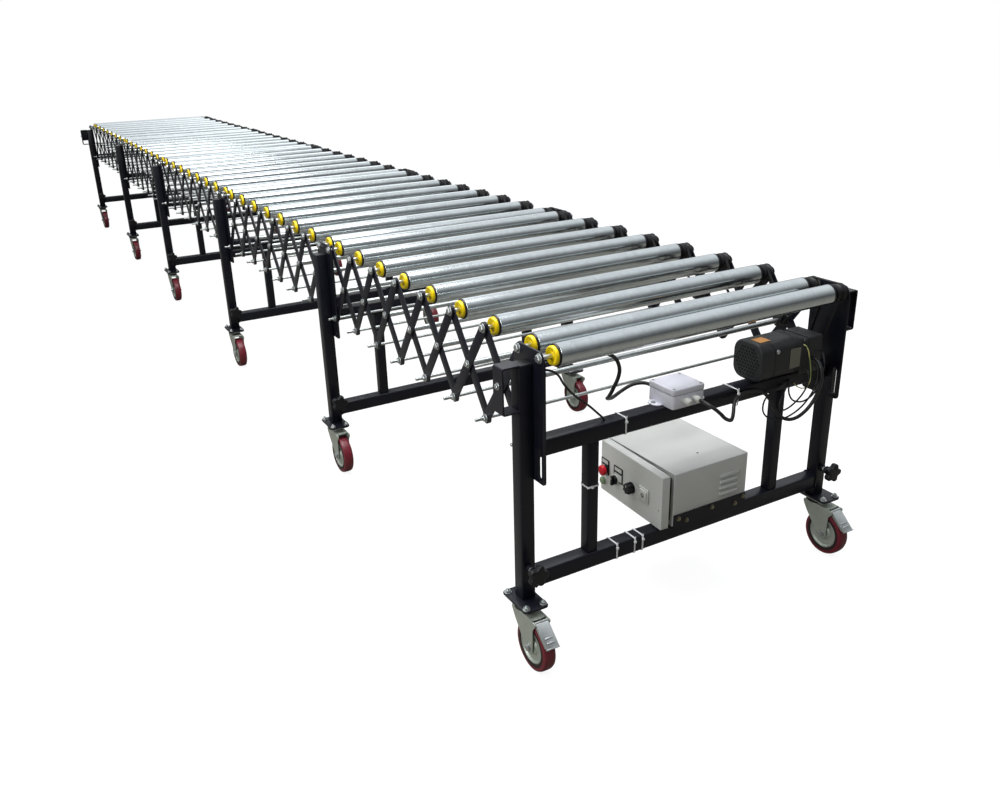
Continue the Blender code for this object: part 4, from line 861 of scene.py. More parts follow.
def section_lines(index):
    """The tops' places along X of a section, and the heights of its middle and bottom pivots."""
    pitch = SECTION_PITCHES[index]
    start = leg_places()[index] - sizes().pair_spacing / 2
    tops = [start - k * pitch for k in range(UNITS + 1)]
    drop = math.sqrt(sizes().link_length ** 2 - pitch**2)
    axis = sizes().roller_height
    return tops, axis - drop / 2, axis - drop


# Pieces of the legs


def plate_with_slots(outlines, thickness, rim):
    """A flat plate with holes as points and faces, cut by Blender's own filled curve."""
    curve = bpy.data.curves.new("plate", "CURVE")
    curve.dimensions = "2D"
    curve.fill_mode = "BOTH"
    curve.extrude = thickness / 2 - rim
    curve.bevel_depth = rim
    curve.bevel_resolution = 1
    curve.offset = -rim
    for outline in outlines:
        spline = curve.splines.new("POLY")
        spline.points.add(len(outline) - 1)
        flat = np.concatenate([outline, np.zeros((len(outline), 1)), np.ones((len(outline), 1))], axis=1)
        spline.points.foreach_set("co", flat.ravel())
        spline.use_cyclic_u = True
    item = bpy.data.objects.new("plate", curve)
    bpy.context.scene.collection.objects.link(item)
    evaluated = item.evaluated_get(bpy.context.evaluated_depsgraph_get())
    mesh = bpy.data.meshes.new_from_object(evaluated)
    shape = bmesh.new()
    shape.from_mesh(mesh)
    bmesh.ops.remove_doubles(shape, verts=shape.verts, dist=1e-6)
    points = np.array([v.co[:] for v in shape.verts])
    faces = [[v.index for v in face.verts] for face in shape.faces]
    shape.free()
    bpy.data.objects.remove(item, do_unlink=True)
    return points, faces


def guide_plates(s, x):
    """The slotted plates that carry a leg's two rollers and guide the bottom rods."""
    half = sizes().pair_spacing / 2
    top, bottom = sizes().roller_height + 0.014, 0.463
    side, shoulder, drop = half + 0.018, half + 0.006, 0.026
    corners = [(side, top - drop), (shoulder, top), (-shoulder, top), (-side, top - drop)]
    outline = eased(np.array([*corners, (-side, bottom), (side, bottom)]), 0.010)
    slots = [loop_round((sign * half, 0.540), (sign * half, 0.481), 0.0060, 0.0060) for sign in SIDES]
    thickness = GUIDE_OUTSIDE - GUIDE_FACE
    points, faces = plate_with_slots([outline, *slots], thickness, 0.0008)
    for sign in SIDES:
        place = (x, sign * (GUIDE_FACE + thickness / 2), 0)
        s.loose(set_along(points[:, :2], points[:, 2], "Y") + np.array(place), faces, "coat")


def leg_tubes(s, x):
    """The posts, crossbars and uprights of a leg, with plugs in the posts' tops."""
    size = sizes()
    bars = (UPPER_BAR, LOWER_BAR)
    inside = POST_CENTRE - size.post_size / 2
    for side in SIDES:
        y, upright = side * POST_CENTRE, side * UPRIGHT_Y
        s.bar((x, y, POST_BOTTOM), (x, y, POST_TOP - 0.002), size.post_size, "coat", "Z", 0.0045)
        s.block((x, y), (0.0172, 0.0172), POST_TOP - 0.004, POST_TOP, 0.004, "black", 0.0012)
        low, high = LOWER_BAR + 0.018, UPPER_BAR - 0.018
        s.bar((x, upright, low), (x, upright, high), size.upright_size, "coat", "Z")
        s.slab(circle(0.0095, 20, (y, KNOB_HEIGHT)), x + 0.0178, x + 0.0262, "X", "coat", 0.0008)
        for z in bars:
            weld_bead(s, x, side * inside, z, side)
    reach = inside + 0.001
    for z in bars:
        s.bar((x, -reach, z), (x, reach, z), size.crossbar_size, "coat", "Y", 0.0045)


def weld_bead(s, x, y, z, side):
    """The weld where a crossbar meets its post: a thin rounded loop round the tube's end."""
    across = sizes().crossbar_size + 0.0036
    outer = rounded_rectangle(across, across, 0.005, (x, z))
    inner = rounded_rectangle(across - 0.006, across - 0.006, 0.004, (x, z))
    s.band(outer, inner, y - side * 0.0028, y, "Y", "coat")


def end_brackets(s, x):
    """The open brackets outside an end leg: a strip folded into a C, with its bolt."""
    top, thickness = POST_TOP + 0.002, 0.004
    bottom = top - 0.106
    inside, outside = POST_OUTSIDE - 0.001, POST_OUTSIDE + 0.041
    outer = eased(np.array([(inside, top), (outside, top), (outside, bottom), (inside, bottom)]), 0.006)
    face, ceiling, floor = outside - thickness, top - thickness, bottom + thickness
    inner = eased(np.array([(inside, ceiling), (face, ceiling), (face, floor), (inside, floor)]), 0.003)
    corner = len(outer) // 4
    outward_run, inward_run = outer[corner : 3 * corner], inner[corner : 3 * corner][::-1]
    ends = [(inside, bottom), (inside, floor)]
    strip = np.vstack([(inside, top), outward_run, ends, inward_run, (inside, ceiling)])
    for side in SIDES:
        s.slab(strip * np.array([side, 1]), x - 0.020, x + 0.020, "X", "coat", 0.0008, 1)
        s.bolt((x, side * (outside - 0.0002), (top + bottom) / 2 + 0.010), "Y", side, (0.0062, 0.0040))


def dark_plate(s, x):
    """The plate in the near bracket of the far end, seen in the photograph as a dark square."""
    low = (x - 0.0020, -POST_OUTSIDE - 0.0380, POST_TOP - 0.0740)
    high = (x + 0.0020, -POST_OUTSIDE + 0.0005, POST_TOP - 0.0010)
    s.box(low, high, 0.0012, "coat", "X", 0.0006)


def caster_place(x, side):
    """Where a caster of the leg at x swivels."""
    return x + SWIVEL_AHEAD, side * CASTER_Y


def foot(s, x, side):
    """A foot: the tube in the post, the foot plate, the caster's plate and four bolts."""
    y = side * POST_CENTRE
    cx, cy = middle = caster_place(x, side)
    s.bar((x, y, FOOT_TOP - 0.001), (x, y, FOOT_TOP + 0.290), 0.028, "coat", "Z", 0.003)
    s.block(middle, (0.053, 0.032), FOOT_TOP - 0.006, FOOT_TOP, 0.009, "coat", 0.0008)
    s.block(middle, (0.049, 0.030), CASTER_PLATE_BOTTOM, FOOT_TOP - 0.0062, 0.008, "zinc", 0.0006)
    for dx in (-0.041, 0.041):
        for dy in (-0.0225, 0.0225):
            place = (cx + dx, cy + dy, FOOT_TOP)
            s.bolt(place, "Z", 1, PLATE_BOLT)
            s.rod(place, (cx + dx, cy + dy, FOOT_TOP + 0.010), 0.0032, "Z", steps=10)


def fork(s, x, side):
    """A caster's swivel ring, yoke and cheeks, with the wheel's bolt through them."""
    cx, cy = caster_place(x, side)
    race = [(0.0205, -0.001), (0.0245, 0.0), (0.0262, 0.004), (0.0240, 0.0085), (0.0215, 0.0110)]
    race += [(0.0200, CASTER_PLATE_BOTTOM - 0.0004 - YOKE_TOP)]
    # The swivel ring takes the near-black shadow_gap finish: painted shade under the caster plate.
    s.turned(race, (cx, cy, YOKE_TOP), "Z", "dark", 28)
    yoke = np.array([(0.060, 0.0205), (-0.027, 0.0205), (-0.027, -0.0205), (0.060, -0.0205)])
    s.slab(eased(yoke, 0.014) + (cx, cy), YOKE_TOP - 0.004, YOKE_TOP, "Z", "pressed", 0.0012)
    axle_x, axle_z = cx + WHEEL_AHEAD, sizes().wheel_diameter / 2
    behind = np.array([(-0.027, -0.001), (-0.0265, -0.010), (-0.014, -0.030)]) + (cx, YOKE_TOP)
    under_axle = circle(0.0155, 32, (axle_x, axle_z))[18:]
    ahead = np.array([(0.062, -0.024), (0.074, -0.009), (0.074, -0.001)]) + (cx, YOKE_TOP)
    cheek = eased(np.concatenate([behind, under_axle, ahead]), 0.004, 3)
    for sign in SIDES:
        s.slab(cheek, cy + sign * 0.018, cy + sign * 0.021, "Y", "pressed", 0.0007)
        s.bolt((axle_x, cy + sign * 0.021, axle_z), "Y", sign, (0.0082, 0.0050))
    s.rod((axle_x, cy - 0.0268, axle_z), (axle_x, cy + 0.0276, axle_z), 0.005, "Y", steps=14)


def wheel(s, x, side):
    """A caster wheel: crowned tread with dark shoulders round a dished zinc hub."""
    cx, cy = caster_place(x, side)
    radius = sizes().wheel_diameter / 2
    centre = (cx + WHEEL_AHEAD, cy, radius)
    half = [(0.0440, 0.0130), (0.0500, 0.0150), (0.0565, 0.0158), (0.0602, 0.0140)]
    half += [(0.0620, 0.0100), (radius, 0.0045)]
    tread = [(r, -a) for r, a in half] + half[::-1]
    s.turned(tread, centre, "Y", "tread", 56, loop=True)
    edge = ((0.0438, 0.0128), (0.0442, 0.0156), (0.0480, 0.0160), (0.0515, 0.0158), (0.0515, 0.0128))
    for sign in SIDES:
        s.turned([(r, sign * a) for r, a in edge], centre, "Y", "tread_edge", 48, loop=True)
    dish = [(0.0439, 0.0126), (0.0425, 0.0148), (0.0395, 0.0150), (0.0360, 0.0112), (0.0230, 0.0104)]
    dish += [(0.0190, 0.0146), (0.0120, 0.0156), (0.0060, 0.0158)]
    s.turned([(r, -a) for r, a in dish[::-1]] + dish, centre, "Y", "pressed", 48)


def pedal(s, x, side):
    """A brake pedal: a folded plate with two pressed ribs, sloping down from its barrel."""
    cx, cy = caster_place(x, side)
    pivot = np.array([cx + 0.067, cy, YOKE_TOP - 0.0045])
    slope = math.radians(42)
    cosine, sine = math.cos(slope), math.sin(slope)

    def tilt(points):
        """Points turned down by the slope and set at the barrel."""
        x, y, z = np.moveaxis(points, -1, 0)
        return np.stack([x * cosine + z * sine, y, z * cosine - x * sine], axis=-1) + pivot

    blade = rounded_rectangle(0.064, 0.0345, 0.004, (0.0335, 0.0))
    s.slab(blade, 0.0004, 0.0028, "Z", "zinc", 0.0006, turn=tilt)
    for place in (0.040, 0.051):
        rib = rounded_rectangle(0.0052, 0.022, 0.0024, (place, 0.0))
        s.slab(rib, 0.0020, 0.0044, "Z", "zinc", 0.0014, turn=tilt)
    skirt = eased(np.array([(0.060, 0.002), (0.004, 0.002), (0.004, -0.006), (0.060, -0.004)]), 0.002)
    for sign in SIDES:
        s.slab(skirt, sign * 0.0152, sign * 0.0172, "Y", "zinc", 0.0004, turn=tilt)
    lip = rounded_rectangle(0.003, 0.0345, 0.0012, (0.0640, 0.0))
    s.slab(lip, -0.0020, 0.0052, "Z", "zinc", 0.0008, turn=tilt)
    s.rod((pivot[0], cy - 0.0175, pivot[2]), (pivot[0], cy + 0.0175, pivot[2]), 0.0038, "Y", steps=14)


def star_knob(s, x, side):
    """A five-lobed clamp knob on its threaded stud."""
    y = side * POST_CENTRE
    inner = x + 0.048
    lobes = star(0.0262, 5, 0.30, 60, (y, KNOB_HEIGHT))
    s.slab(lobes, inner, inner + 0.018, "X", "black", 0.0050, 4)
    boss = [(0.0095, -0.014), (0.0105, -0.013), (0.0130, 0.001)]
    s.turned(boss, (inner, y, KNOB_HEIGHT), "X", "black", 24)
    s.rod((x + 0.0145, y, KNOB_HEIGHT), (inner, y, KNOB_HEIGHT), 0.0038, "X", steps=12)
    s.bolt((x + 0.0262, y, KNOB_HEIGHT), "X", 1, (0.0074, 0.0050), washer=False)


# Operators, one for each piece or group of like pieces


class CONVEYOR_OT_cables(bpy.types.Operator):
    """Lay the motor cable, the sensor cable and the motor's own wires"""

    bl_idname = "conveyor.cables"
    bl_label = "Cables"

    def execute(self, context):
        start = np.array([leg_places()[0], ROLLER_MIDDLE, 0])
        for name, route in (("motor_cable", MOTOR_CABLE), ("sensor_cable", SENSOR_CABLE)):
            cable(f"{name}_sheath", route + start, CABLE_RADIUS, "cable", [name])
        leads = [("sensor_lead", SENSOR_LEAD, 0.0026, "cable"), ("earth_lead", EARTH_LEAD, 0.0014, "earth")]
        leads += [(f"winding_lead_{k}", route, 0.0022, "cable") for k, route in enumerate(WINDING_LEADS, 1)]
        for name, route, radius, finish in leads:
            cable(name, route + start, radius, finish)
        return {"FINISHED"}


class CONVEYOR_OT_rollers(bpy.types.Operator):
    """Make the forty-two rollers"""

    bl_idname = "conveyor.rollers"
    bl_label = "Rollers"

    def execute(self, context):
        half = sizes().pair_spacing / 2
        first, *others = leg_places()
        tops = section_lines(0)[0]
        for number, x in enumerate([first + half, *tops[:UNITS]], 1):
            s = Surfaces()
            roller(s, x)
            s.piece(f"roller_{number}_dressed", f"roller_{number}", "galvanised_roller", f"roller_{number}")
        for number, x in enumerate(others, 2):
            s = Surfaces()
            for sign in SIDES:
                roller(s, x + sign * half)
            s.piece(f"leg_{number}_rollers", "frame", "galvanised_roller")
        for index in range(1, len(SECTION_PITCHES)):
            s = Surfaces()
            for x in section_lines(index)[0][1:-1]:
                roller(s, x)
            s.piece(f"section_{index + 1}_rollers", "frame", "galvanised_roller")
        return {"FINISHED"}


class CONVEYOR_OT_scissors(bpy.types.Operator):
    """Make the crossed bars, rods, spacer tubes and axles"""

    bl_idname = "conveyor.scissors"
    bl_label = "Scissor frame"

    def execute(self, context):
        axis = sizes().roller_height
        tops, middle, low = section_lines(0)
        for k in range(UNITS):
            near, far = tops[k : k + 2]
            s = Surfaces()
            link_bar(s, (near, axis), (far, low), OUTER_LINK)
            bottom_rod(s, far, low, self.face(k + 1))
            s.piece(f"outer_bars_{k + 1}", f"outer_link_{k + 1}", "black_powder_coat", f"outer_link_{k + 1}")
            s = Surfaces()
            link_bar(s, (far, axis), (near, low), INNER_LINK)
            middle_tube(s, (near + far) / 2, middle)
            idler(s, (near + far) / 2, middle)
            if k == 0:
                bottom_rod(s, near, low, self.face(k))
            s.piece(f"inner_bars_{k + 1}", f"inner_link_{k + 1}", "black_powder_coat", f"inner_link_{k + 1}")
        for n, x in enumerate(tops[1:-1], 3):
            s = Surfaces()
            axle(s, x, self.face(n - 2))
            s.piece(f"axle_{n}_bolted", f"axle_{n}", "zinc_plate", f"roller_axle_{n}")
        for index in range(1, len(SECTION_PITCHES)):
            self.static_section(index)
        return {"FINISHED"}

    def face(self, k):
        """Where a section's nuts lie: on the guide plates at its ends, and on the bars between."""
        return SEAT_GAP + (LINK_FACE if 0 < k < UNITS else GUIDE_OUTSIDE)

    def static_section(self, index):
        """A section that stays at its spread."""
        axis = sizes().roller_height
        tops, middle, low = section_lines(index)
        s, metal = Surfaces(), Surfaces()
        for near, far in zip(tops, tops[1:]):
            link_bar(s, (near, axis), (far, low), OUTER_LINK)
            link_bar(s, (far, axis), (near, low), INNER_LINK)
            middle_tube(metal, (near + far) / 2, middle)
            idler(s, (near + far) / 2, middle)
        for k, x in enumerate(tops):
            bottom_rod(metal, x, low, self.face(k))
            if 0 < k < UNITS:
                axle(metal, x, self.face(k))
        s.piece(f"section_{index + 1}_bars", "frame", "black_powder_coat", f"scissor_section_{index + 1}")
        metal.piece(f"section_{index + 1}_rods", "frame", "zinc_plate")


class CONVEYOR_OT_belts(bpy.types.Operator):
    """Make the drive belts that pass the motion from roller to roller"""

    bl_idname = "conveyor.belts"
    bl_label = "Drive belts"

    def execute(self, context):
        axis = sizes().roller_height
        half = sizes().pair_spacing / 2
        first, *others = leg_places()
        tops, middle, _ = section_lines(0)
        for k in range(UNITS):
            pair = {"outer": Surfaces(), "inner": Surfaces()}
            belts_of_unit(*pair.values(), tops[k], tops[k + 1], middle)
            for kind, s in pair.items():
                s.piece(f"belt_{kind}_{k + 1}", f"{kind}_link_{k + 1}", "black_plastic")
        s = Surfaces()
        belt(s, (first + half, axis), (first - half, axis), HEAD_RADIUS, HEAD_RADIUS, 2)
        belt(s, (first, DRIVE_HEIGHT), (first + half, axis), PULLEY_RADIUS, HEAD_RADIUS, 0)
        s.piece("belt_leg_1", "control_leg", "black_plastic")
        s = Surfaces()
        for x in others:
            belt(s, (x + half, axis), (x - half, axis), HEAD_RADIUS, HEAD_RADIUS, 2)
        for index in range(1, len(SECTION_PITCHES)):
            tops, middle, _ = section_lines(index)
            for near, far in zip(tops, tops[1:]):
                belts_of_unit(s, s, near, far, middle)
        s.piece("belts_sections_2_to_5", "frame", "black_plastic")
        return {"FINISHED"}


class CONVEYOR_OT_legs(bpy.types.Operator):
    """Make the leg frames with their guide plates and end brackets"""

    bl_idname = "conveyor.legs"
    bl_label = "Leg frames"

    def execute(self, context):
        half = sizes().pair_spacing / 2
        for index, x in enumerate(leg_places()):
            s = Surfaces()
            leg_tubes(s, x)
            guide_plates(s, x)
            for sign in SIDES:
                axle(s, x + sign * half, GUIDE_OUTSIDE)
            if index in (0, LEG_COUNT - 1):
                end_brackets(s, x)
            if index == LEG_COUNT - 1:
                dark_plate(s, x)
            if index == 0:
                self.box_bracket(s, x)
            number, body = index + 1, "frame" if index else "control_leg"
            s.piece(f"leg_{number}_welded_frame", body, "black_powder_coat", f"leg_frame_{number}")
        return {"FINISHED"}

    def box_bracket(self, s, x):
        """The angle under the control box with its yellow bolts."""
        back, front = x - 0.0195, x + BOX_FRONT_OFFSET + SEAT_GAP
        floor, thickness = LOWER_BAR + 0.020, 0.003
        base, outside, top = floor - 0.0005, front + thickness, floor + 0.034
        outline = [(back, base), (outside, base), (outside, top), (front, top)]
        outline += [(front, floor + thickness), (back, floor + thickness)]
        s.slab(np.array(outline), BOX_NEAR_Y, BOX_FAR_Y, "Y", "coat", 0.0006, 1)
        for y, z in ((-0.048, 0.251), (-0.022, 0.240), (0.060, 0.252), (0.138, 0.240), (0.164, 0.253)):
            s.bolt((outside, y, z), "X", 1, (0.0050, 0.0038), "brass")


class CONVEYOR_OT_casters(bpy.types.Operator):
    """Make the feet, casters, brake pedals and clamp knobs"""

    bl_idname = "conveyor.casters"
    bl_label = "Feet and casters"

    def execute(self, context):
        first, *others = leg_places()
        for side, word in zip(SIDES, SIDE_NAMES):
            for shape, name, node, slot in (
                (foot, f"foot_{word}_bolted", f"foot_{word}", "black_powder_coat"),
                (fork, f"caster_{word}_fork", f"caster_fork_{word}", "zinc_plate"),
                (wheel, f"caster_{word}_wheel", f"caster_wheel_{word}", "red_polyurethane"),
                (pedal, f"brake_{word}_plate", f"brake_pedal_{word}", "zinc_plate"),
                (star_knob, f"clamp_{word}_knob", f"star_knob_{word}", "black_plastic"),
            ):
                s = Surfaces()
                shape(s, first, side)
                s.piece(name, node, slot, node)
        for number, x in enumerate(others, 2):
            s, metal, tread = Surfaces(), Surfaces(), Surfaces()
            for side in SIDES:
                foot(s, x, side)
                star_knob(s, x, side)
                fork(metal, x, side)
                wheel(tread, x, side)
            s.piece(f"leg_{number}_feet", "frame", "black_powder_coat")
            metal.piece(f"leg_{number}_forks", "frame", "zinc_plate")
            tread.piece(f"leg_{number}_wheels", "frame", "red_polyurethane")
        return {"FINISHED"}


class CONVEYOR_OT_control_box(bpy.types.Operator):
    """Make the control box, its door, louvres and controls"""

    bl_idname = "conveyor.control_box"
    bl_label = "Control box"

    def execute(self, context):
        front = leg_places()[0] + BOX_FRONT_OFFSET
        back = front - BOX_LENGTH
        hinge = Matrix.Translation((back - HINGE_OUTSET, HINGE_Y, 0))
        swing = hinge @ Matrix.Rotation(-DOOR_AJAR, 4, "Z") @ hinge.inverted()
        self.case(front, back)
        self.door(front, back, swing)
        self.controls(front, swing)
        return {"FINISHED"}

    def tray(self, s, front, back, corner, start, end):
        """The four folded sides of the case or the door, and its outline."""
        centre = ((front + back) / 2, (BOX_TOP + BOX_BOTTOM) / 2)
        width, height = front - back, BOX_TOP - BOX_BOTTOM
        outer = rounded_rectangle(width, height, corner, centre)
        inner = rounded_rectangle(width - 0.004, height - 0.004, 0.0015, centre)
        s.band(outer, inner, start, end, "Y", "enamel")
        return outer

    def case(self, front, back):
        """The folded case with its back, gasket rim, louvres and gear plate."""
        s = Surfaces()
        outer = self.tray(s, front, back, 0.0025, BOX_NEAR_Y, BOX_FAR_Y - 0.001)
        s.slab(outer, BOX_FAR_Y - 0.002, BOX_FAR_Y, "Y", "enamel", 0.0012)
        middle, width, height = (front + back) / 2, front - back, BOX_TOP - BOX_BOTTOM
        centre = (middle, (BOX_TOP + BOX_BOTTOM) / 2)
        rim, opening, lip = (
            rounded_rectangle(width - less, height - less, 0.002, centre) for less in (0.003, 0.030, 0.027)
        )
        s.band(rim, opening, BOX_NEAR_Y + 0.001, BOX_NEAR_Y + 0.0025, "Y", "enamel")
        # The lip round the opening takes the shadow_gap finish: painted shade in the gap behind the door.
        s.band(lip, opening, BOX_NEAR_Y - 0.0015, BOX_NEAR_Y + 0.002, "Y", "dark")
        low = (back + 0.018, BOX_FAR_Y - 0.012, BOX_BOTTOM + 0.016)
        high = (front - 0.018, BOX_FAR_Y - 0.008, BOX_TOP - 0.016)
        s.box(low, high, 0.001, "zinc", "Y", 0.0005)
        for k in range(3):
            x = back + 0.050 + 0.080 * k
            low, high = (x - 0.026, 0.093, 0.268), (x + 0.026, BOX_FAR_Y - 0.011, 0.338)
            s.box(low, high, 0.003, "black", "Y", 0.002)
        for k in range(4):
            z = 0.2780 + 0.0165 * k
            louvre = loop_round((0.0900, z), (0.1410, z), 0.0056, 0.0056, 6)
            s.slab(louvre, front - 0.0005, front + 0.0042, "X", "enamel", 0.0040, 4)
            # Each slit under a louvre is a near-black strip: painted shade in the opening.
            slit = loop_round((0.0920, z - 0.0052), (0.1390, z - 0.0052), 0.0011, 0.0011, 4)
            s.slab(slit, front, front + 0.0008, "X", "dark", 0.0002, 1)
        # The hole in the top is a near-black disc: painted shade in the hole.
        hole = circle(0.0030, 12, (middle + 0.0648, 0.066))
        s.slab(hole, BOX_TOP - 0.001, BOX_TOP + 0.0005, "Z", "dark", 0.0003, 1)
        for z in (BOX_BOTTOM + 0.018, BOX_BOTTOM + 0.1124):
            low, high = (back - 0.0080, HINGE_Y - 0.0015, z), (back - 0.0006, -0.045, z + 0.0114)
            s.box(low, high, 0.001, "enamel", "Z", 0.0006)
            low, high = (back - 0.0012, -0.0580, z + 0.001), (back + 0.0012, -0.046, z + 0.0104)
            s.box(low, high, 0.0004, "enamel", "Z", 0.0003)
        pin = (back - HINGE_OUTSET, HINGE_Y)
        s.rod((*pin, BOX_BOTTOM + 0.019), (*pin, BOX_BOTTOM + 0.1234), 0.0019, "Z", steps=12)
        s.piece("control_box_case", "control_leg", "light_grey_enamel", "control_box")

    def door(self, front, back, swing):
        """The door, a shallow folded tray with its hinge barrel, blank legend plates and lamp."""
        s = Surfaces()
        outer = self.tray(s, front, back, 0.0030, DOOR_FACE + 0.0018, DOOR_BACK)
        s.slab(outer, DOOR_FACE, DOOR_FACE + 0.0022, "Y", "enamel", 0.0016, 3)
        low, high = 0.0300, 0.1120
        barrel = [(0.0052, low), (0.0055, low + 0.0004), (0.0055, high - 0.0004), (0.0052, high)]
        barrel += [(0.0027, high), (0.0027, low)]
        s.turned(barrel, (back - HINGE_OUTSET, HINGE_Y, BOX_BOTTOM), "Z", "enamel", 24, loop=True)
        for along, wide in ((-0.2420, 0.036), (-0.1830, 0.040)):
            x, z = front + along, BOX_BOTTOM + 0.0735
            plate = rounded_rectangle(wide, 0.044, 0.0030, (x, z))
            s.slab(plate, DOOR_FACE - 0.0016, DOOR_FACE + 0.0002, "Y", "black", 0.0005)
            lower = rounded_rectangle(wide - 0.008, 0.021, 0.0020, (x, z - 0.0075))
            s.slab(lower, DOOR_FACE - 0.0019, DOOR_FACE - 0.0012, "Y", "enamel", 0.0002, 1)
            blank = rounded_rectangle(wide - 0.010, 0.0100, 0.0010, (x, z + 0.0135))
            s.slab(blank, DOOR_FACE - 0.0019, DOOR_FACE - 0.0012, "Y", "label", 0.0002, 1)
        lamp = (front - 0.2450, DOOR_FACE, BOX_BOTTOM + 0.0320)
        bezel = [(0.0040, 0.004), (0.0124, 0.0), (0.0126, -0.0024), (0.0108, -0.0034)]
        s.turned(bezel, lamp, "Y", "label", 32)
        dome = [(0.0104, -0.0030), (0.0106, -0.0066), (0.0098, -0.0094), (0.0074, -0.0112), (0.0030, -0.0120)]
        s.turned(dome, lamp, "Y", "lamp", 32)
        # A near-black disc: painted shade in a hole in the door.
        hole = circle(0.0016, 12, (front - 0.012, BOX_BOTTOM + 0.050))
        s.slab(hole, DOOR_FACE - 0.0003, DOOR_FACE + 0.0005, "Y", "dark", 0.0002, 1)
        node = "control_box_door"
        s.piece("control_box_door_tray", node, "light_grey_enamel", node, place=swing)

    def controls(self, front, swing):
        """The stop button, selector, speed knob and latch."""
        shapes = (self.stop_button, self.selector, self.speed_knob, self.latch)
        for (name, node, slot, along, up), shape in zip(CONTROLS, shapes):
            s = Surfaces()
            shape(s, front - along, DOOR_FACE - SEAT_GAP, BOX_BOTTOM + up)
            s.piece(name, node, slot, node, place=swing)

    def stop_button(self, s, x, face, z):
        """A mushroom head on its black stem and collar."""
        stem = [(0.0078, 0.007), (0.0078, -0.0018), (0.0112, -0.0022), (0.0112, -0.0072)]
        stem += [(0.0088, -0.0084), (0.0086, -0.0115)]
        s.turned(stem, (x, face, z), "Y", "black", 32)
        head = [(0.0096, -0.0105), (0.0136, -0.0112), (0.0145, -0.0132), (0.0145, -0.0170)]
        head += [(0.0132, -0.0200), (0.0100, -0.0220), (0.0050, -0.0229), (0.0015, -0.0230)]
        s.turned(head, (x, face, z), "Y", "button", 40)

    def selector(self, s, x, face, z):
        """A grip across a round collar with its pale ring and white mark."""
        ring = [(0.0115, 0.0000), (0.0146, -0.0018), (0.0146, -0.0038), (0.0128, -0.0046), (0.0110, -0.0040)]
        s.turned(ring, (x, face, z), "Y", "label", 36)
        collar = [(0.0040, 0.006), (0.0120, -0.0010), (0.0122, -0.0070), (0.0112, -0.0104)]
        s.turned(collar, (x, face, z), "Y", "black", 36)
        grip = rounded_rectangle(0.0075, 0.0270, 0.0028, (x, z))
        s.slab(grip, face - 0.0178, face - 0.0080, "Y", "black", 0.0016)
        self.pointer(s, x, face, z, 0.0080)

    def speed_knob(self, s, x, face, z):
        """A lobed knob on its skirt, with a white mark."""
        skirt = [(0.0040, 0.006), (0.0148, 0.0), (0.0150, -0.0024), (0.0126, -0.0030)]
        s.turned(skirt, (x, face, z), "Y", "black", 36)
        s.slab(star(0.0150, 7, 0.20, 56, (x, z)), face - 0.0178, face - 0.0024, "Y", "black", 0.0024, 3)
        self.pointer(s, x, face, z, 0.0070)

    def pointer(self, s, x, face, z, length):
        """The white mark on a knob's top."""
        mark = rounded_rectangle(0.0014, length, 0.0005, (x, z + 0.007))
        s.slab(mark, face - 0.0180, face - 0.0172, "Y", "white", 0.0002, 1)

    def latch(self, s, x, face, z):
        """A square latch plate with its keyhole and the tongue's shaft."""
        plate = rounded_rectangle(0.040, 0.040, 0.004, (x, z))
        s.slab(plate, face - 0.0034, face, "Y", "latch", 0.0012)
        step = rounded_rectangle(0.029, 0.029, 0.003, (x, z))
        s.slab(step, face - 0.0060, face - 0.0020, "Y", "latch", 0.0014)
        # A near-black ring round the lock: painted shade at the latch's hole.
        s.turned([(0.0074, -0.0040), (0.0074, -0.0056), (0.0062, -0.0060)], (x, face, z), "Y", "dark", 24)
        key = loop_round((x, z - 0.0014), (x, z + 0.0024), 0.0013, 0.0023, 6)
        s.slab(key, face - 0.0062, face - 0.0050, "Y", "zinc", 0.0002, 1)
        s.rod((x, face + 0.006, z), (x, face - 0.001, z), 0.0038, "Y", steps=12)


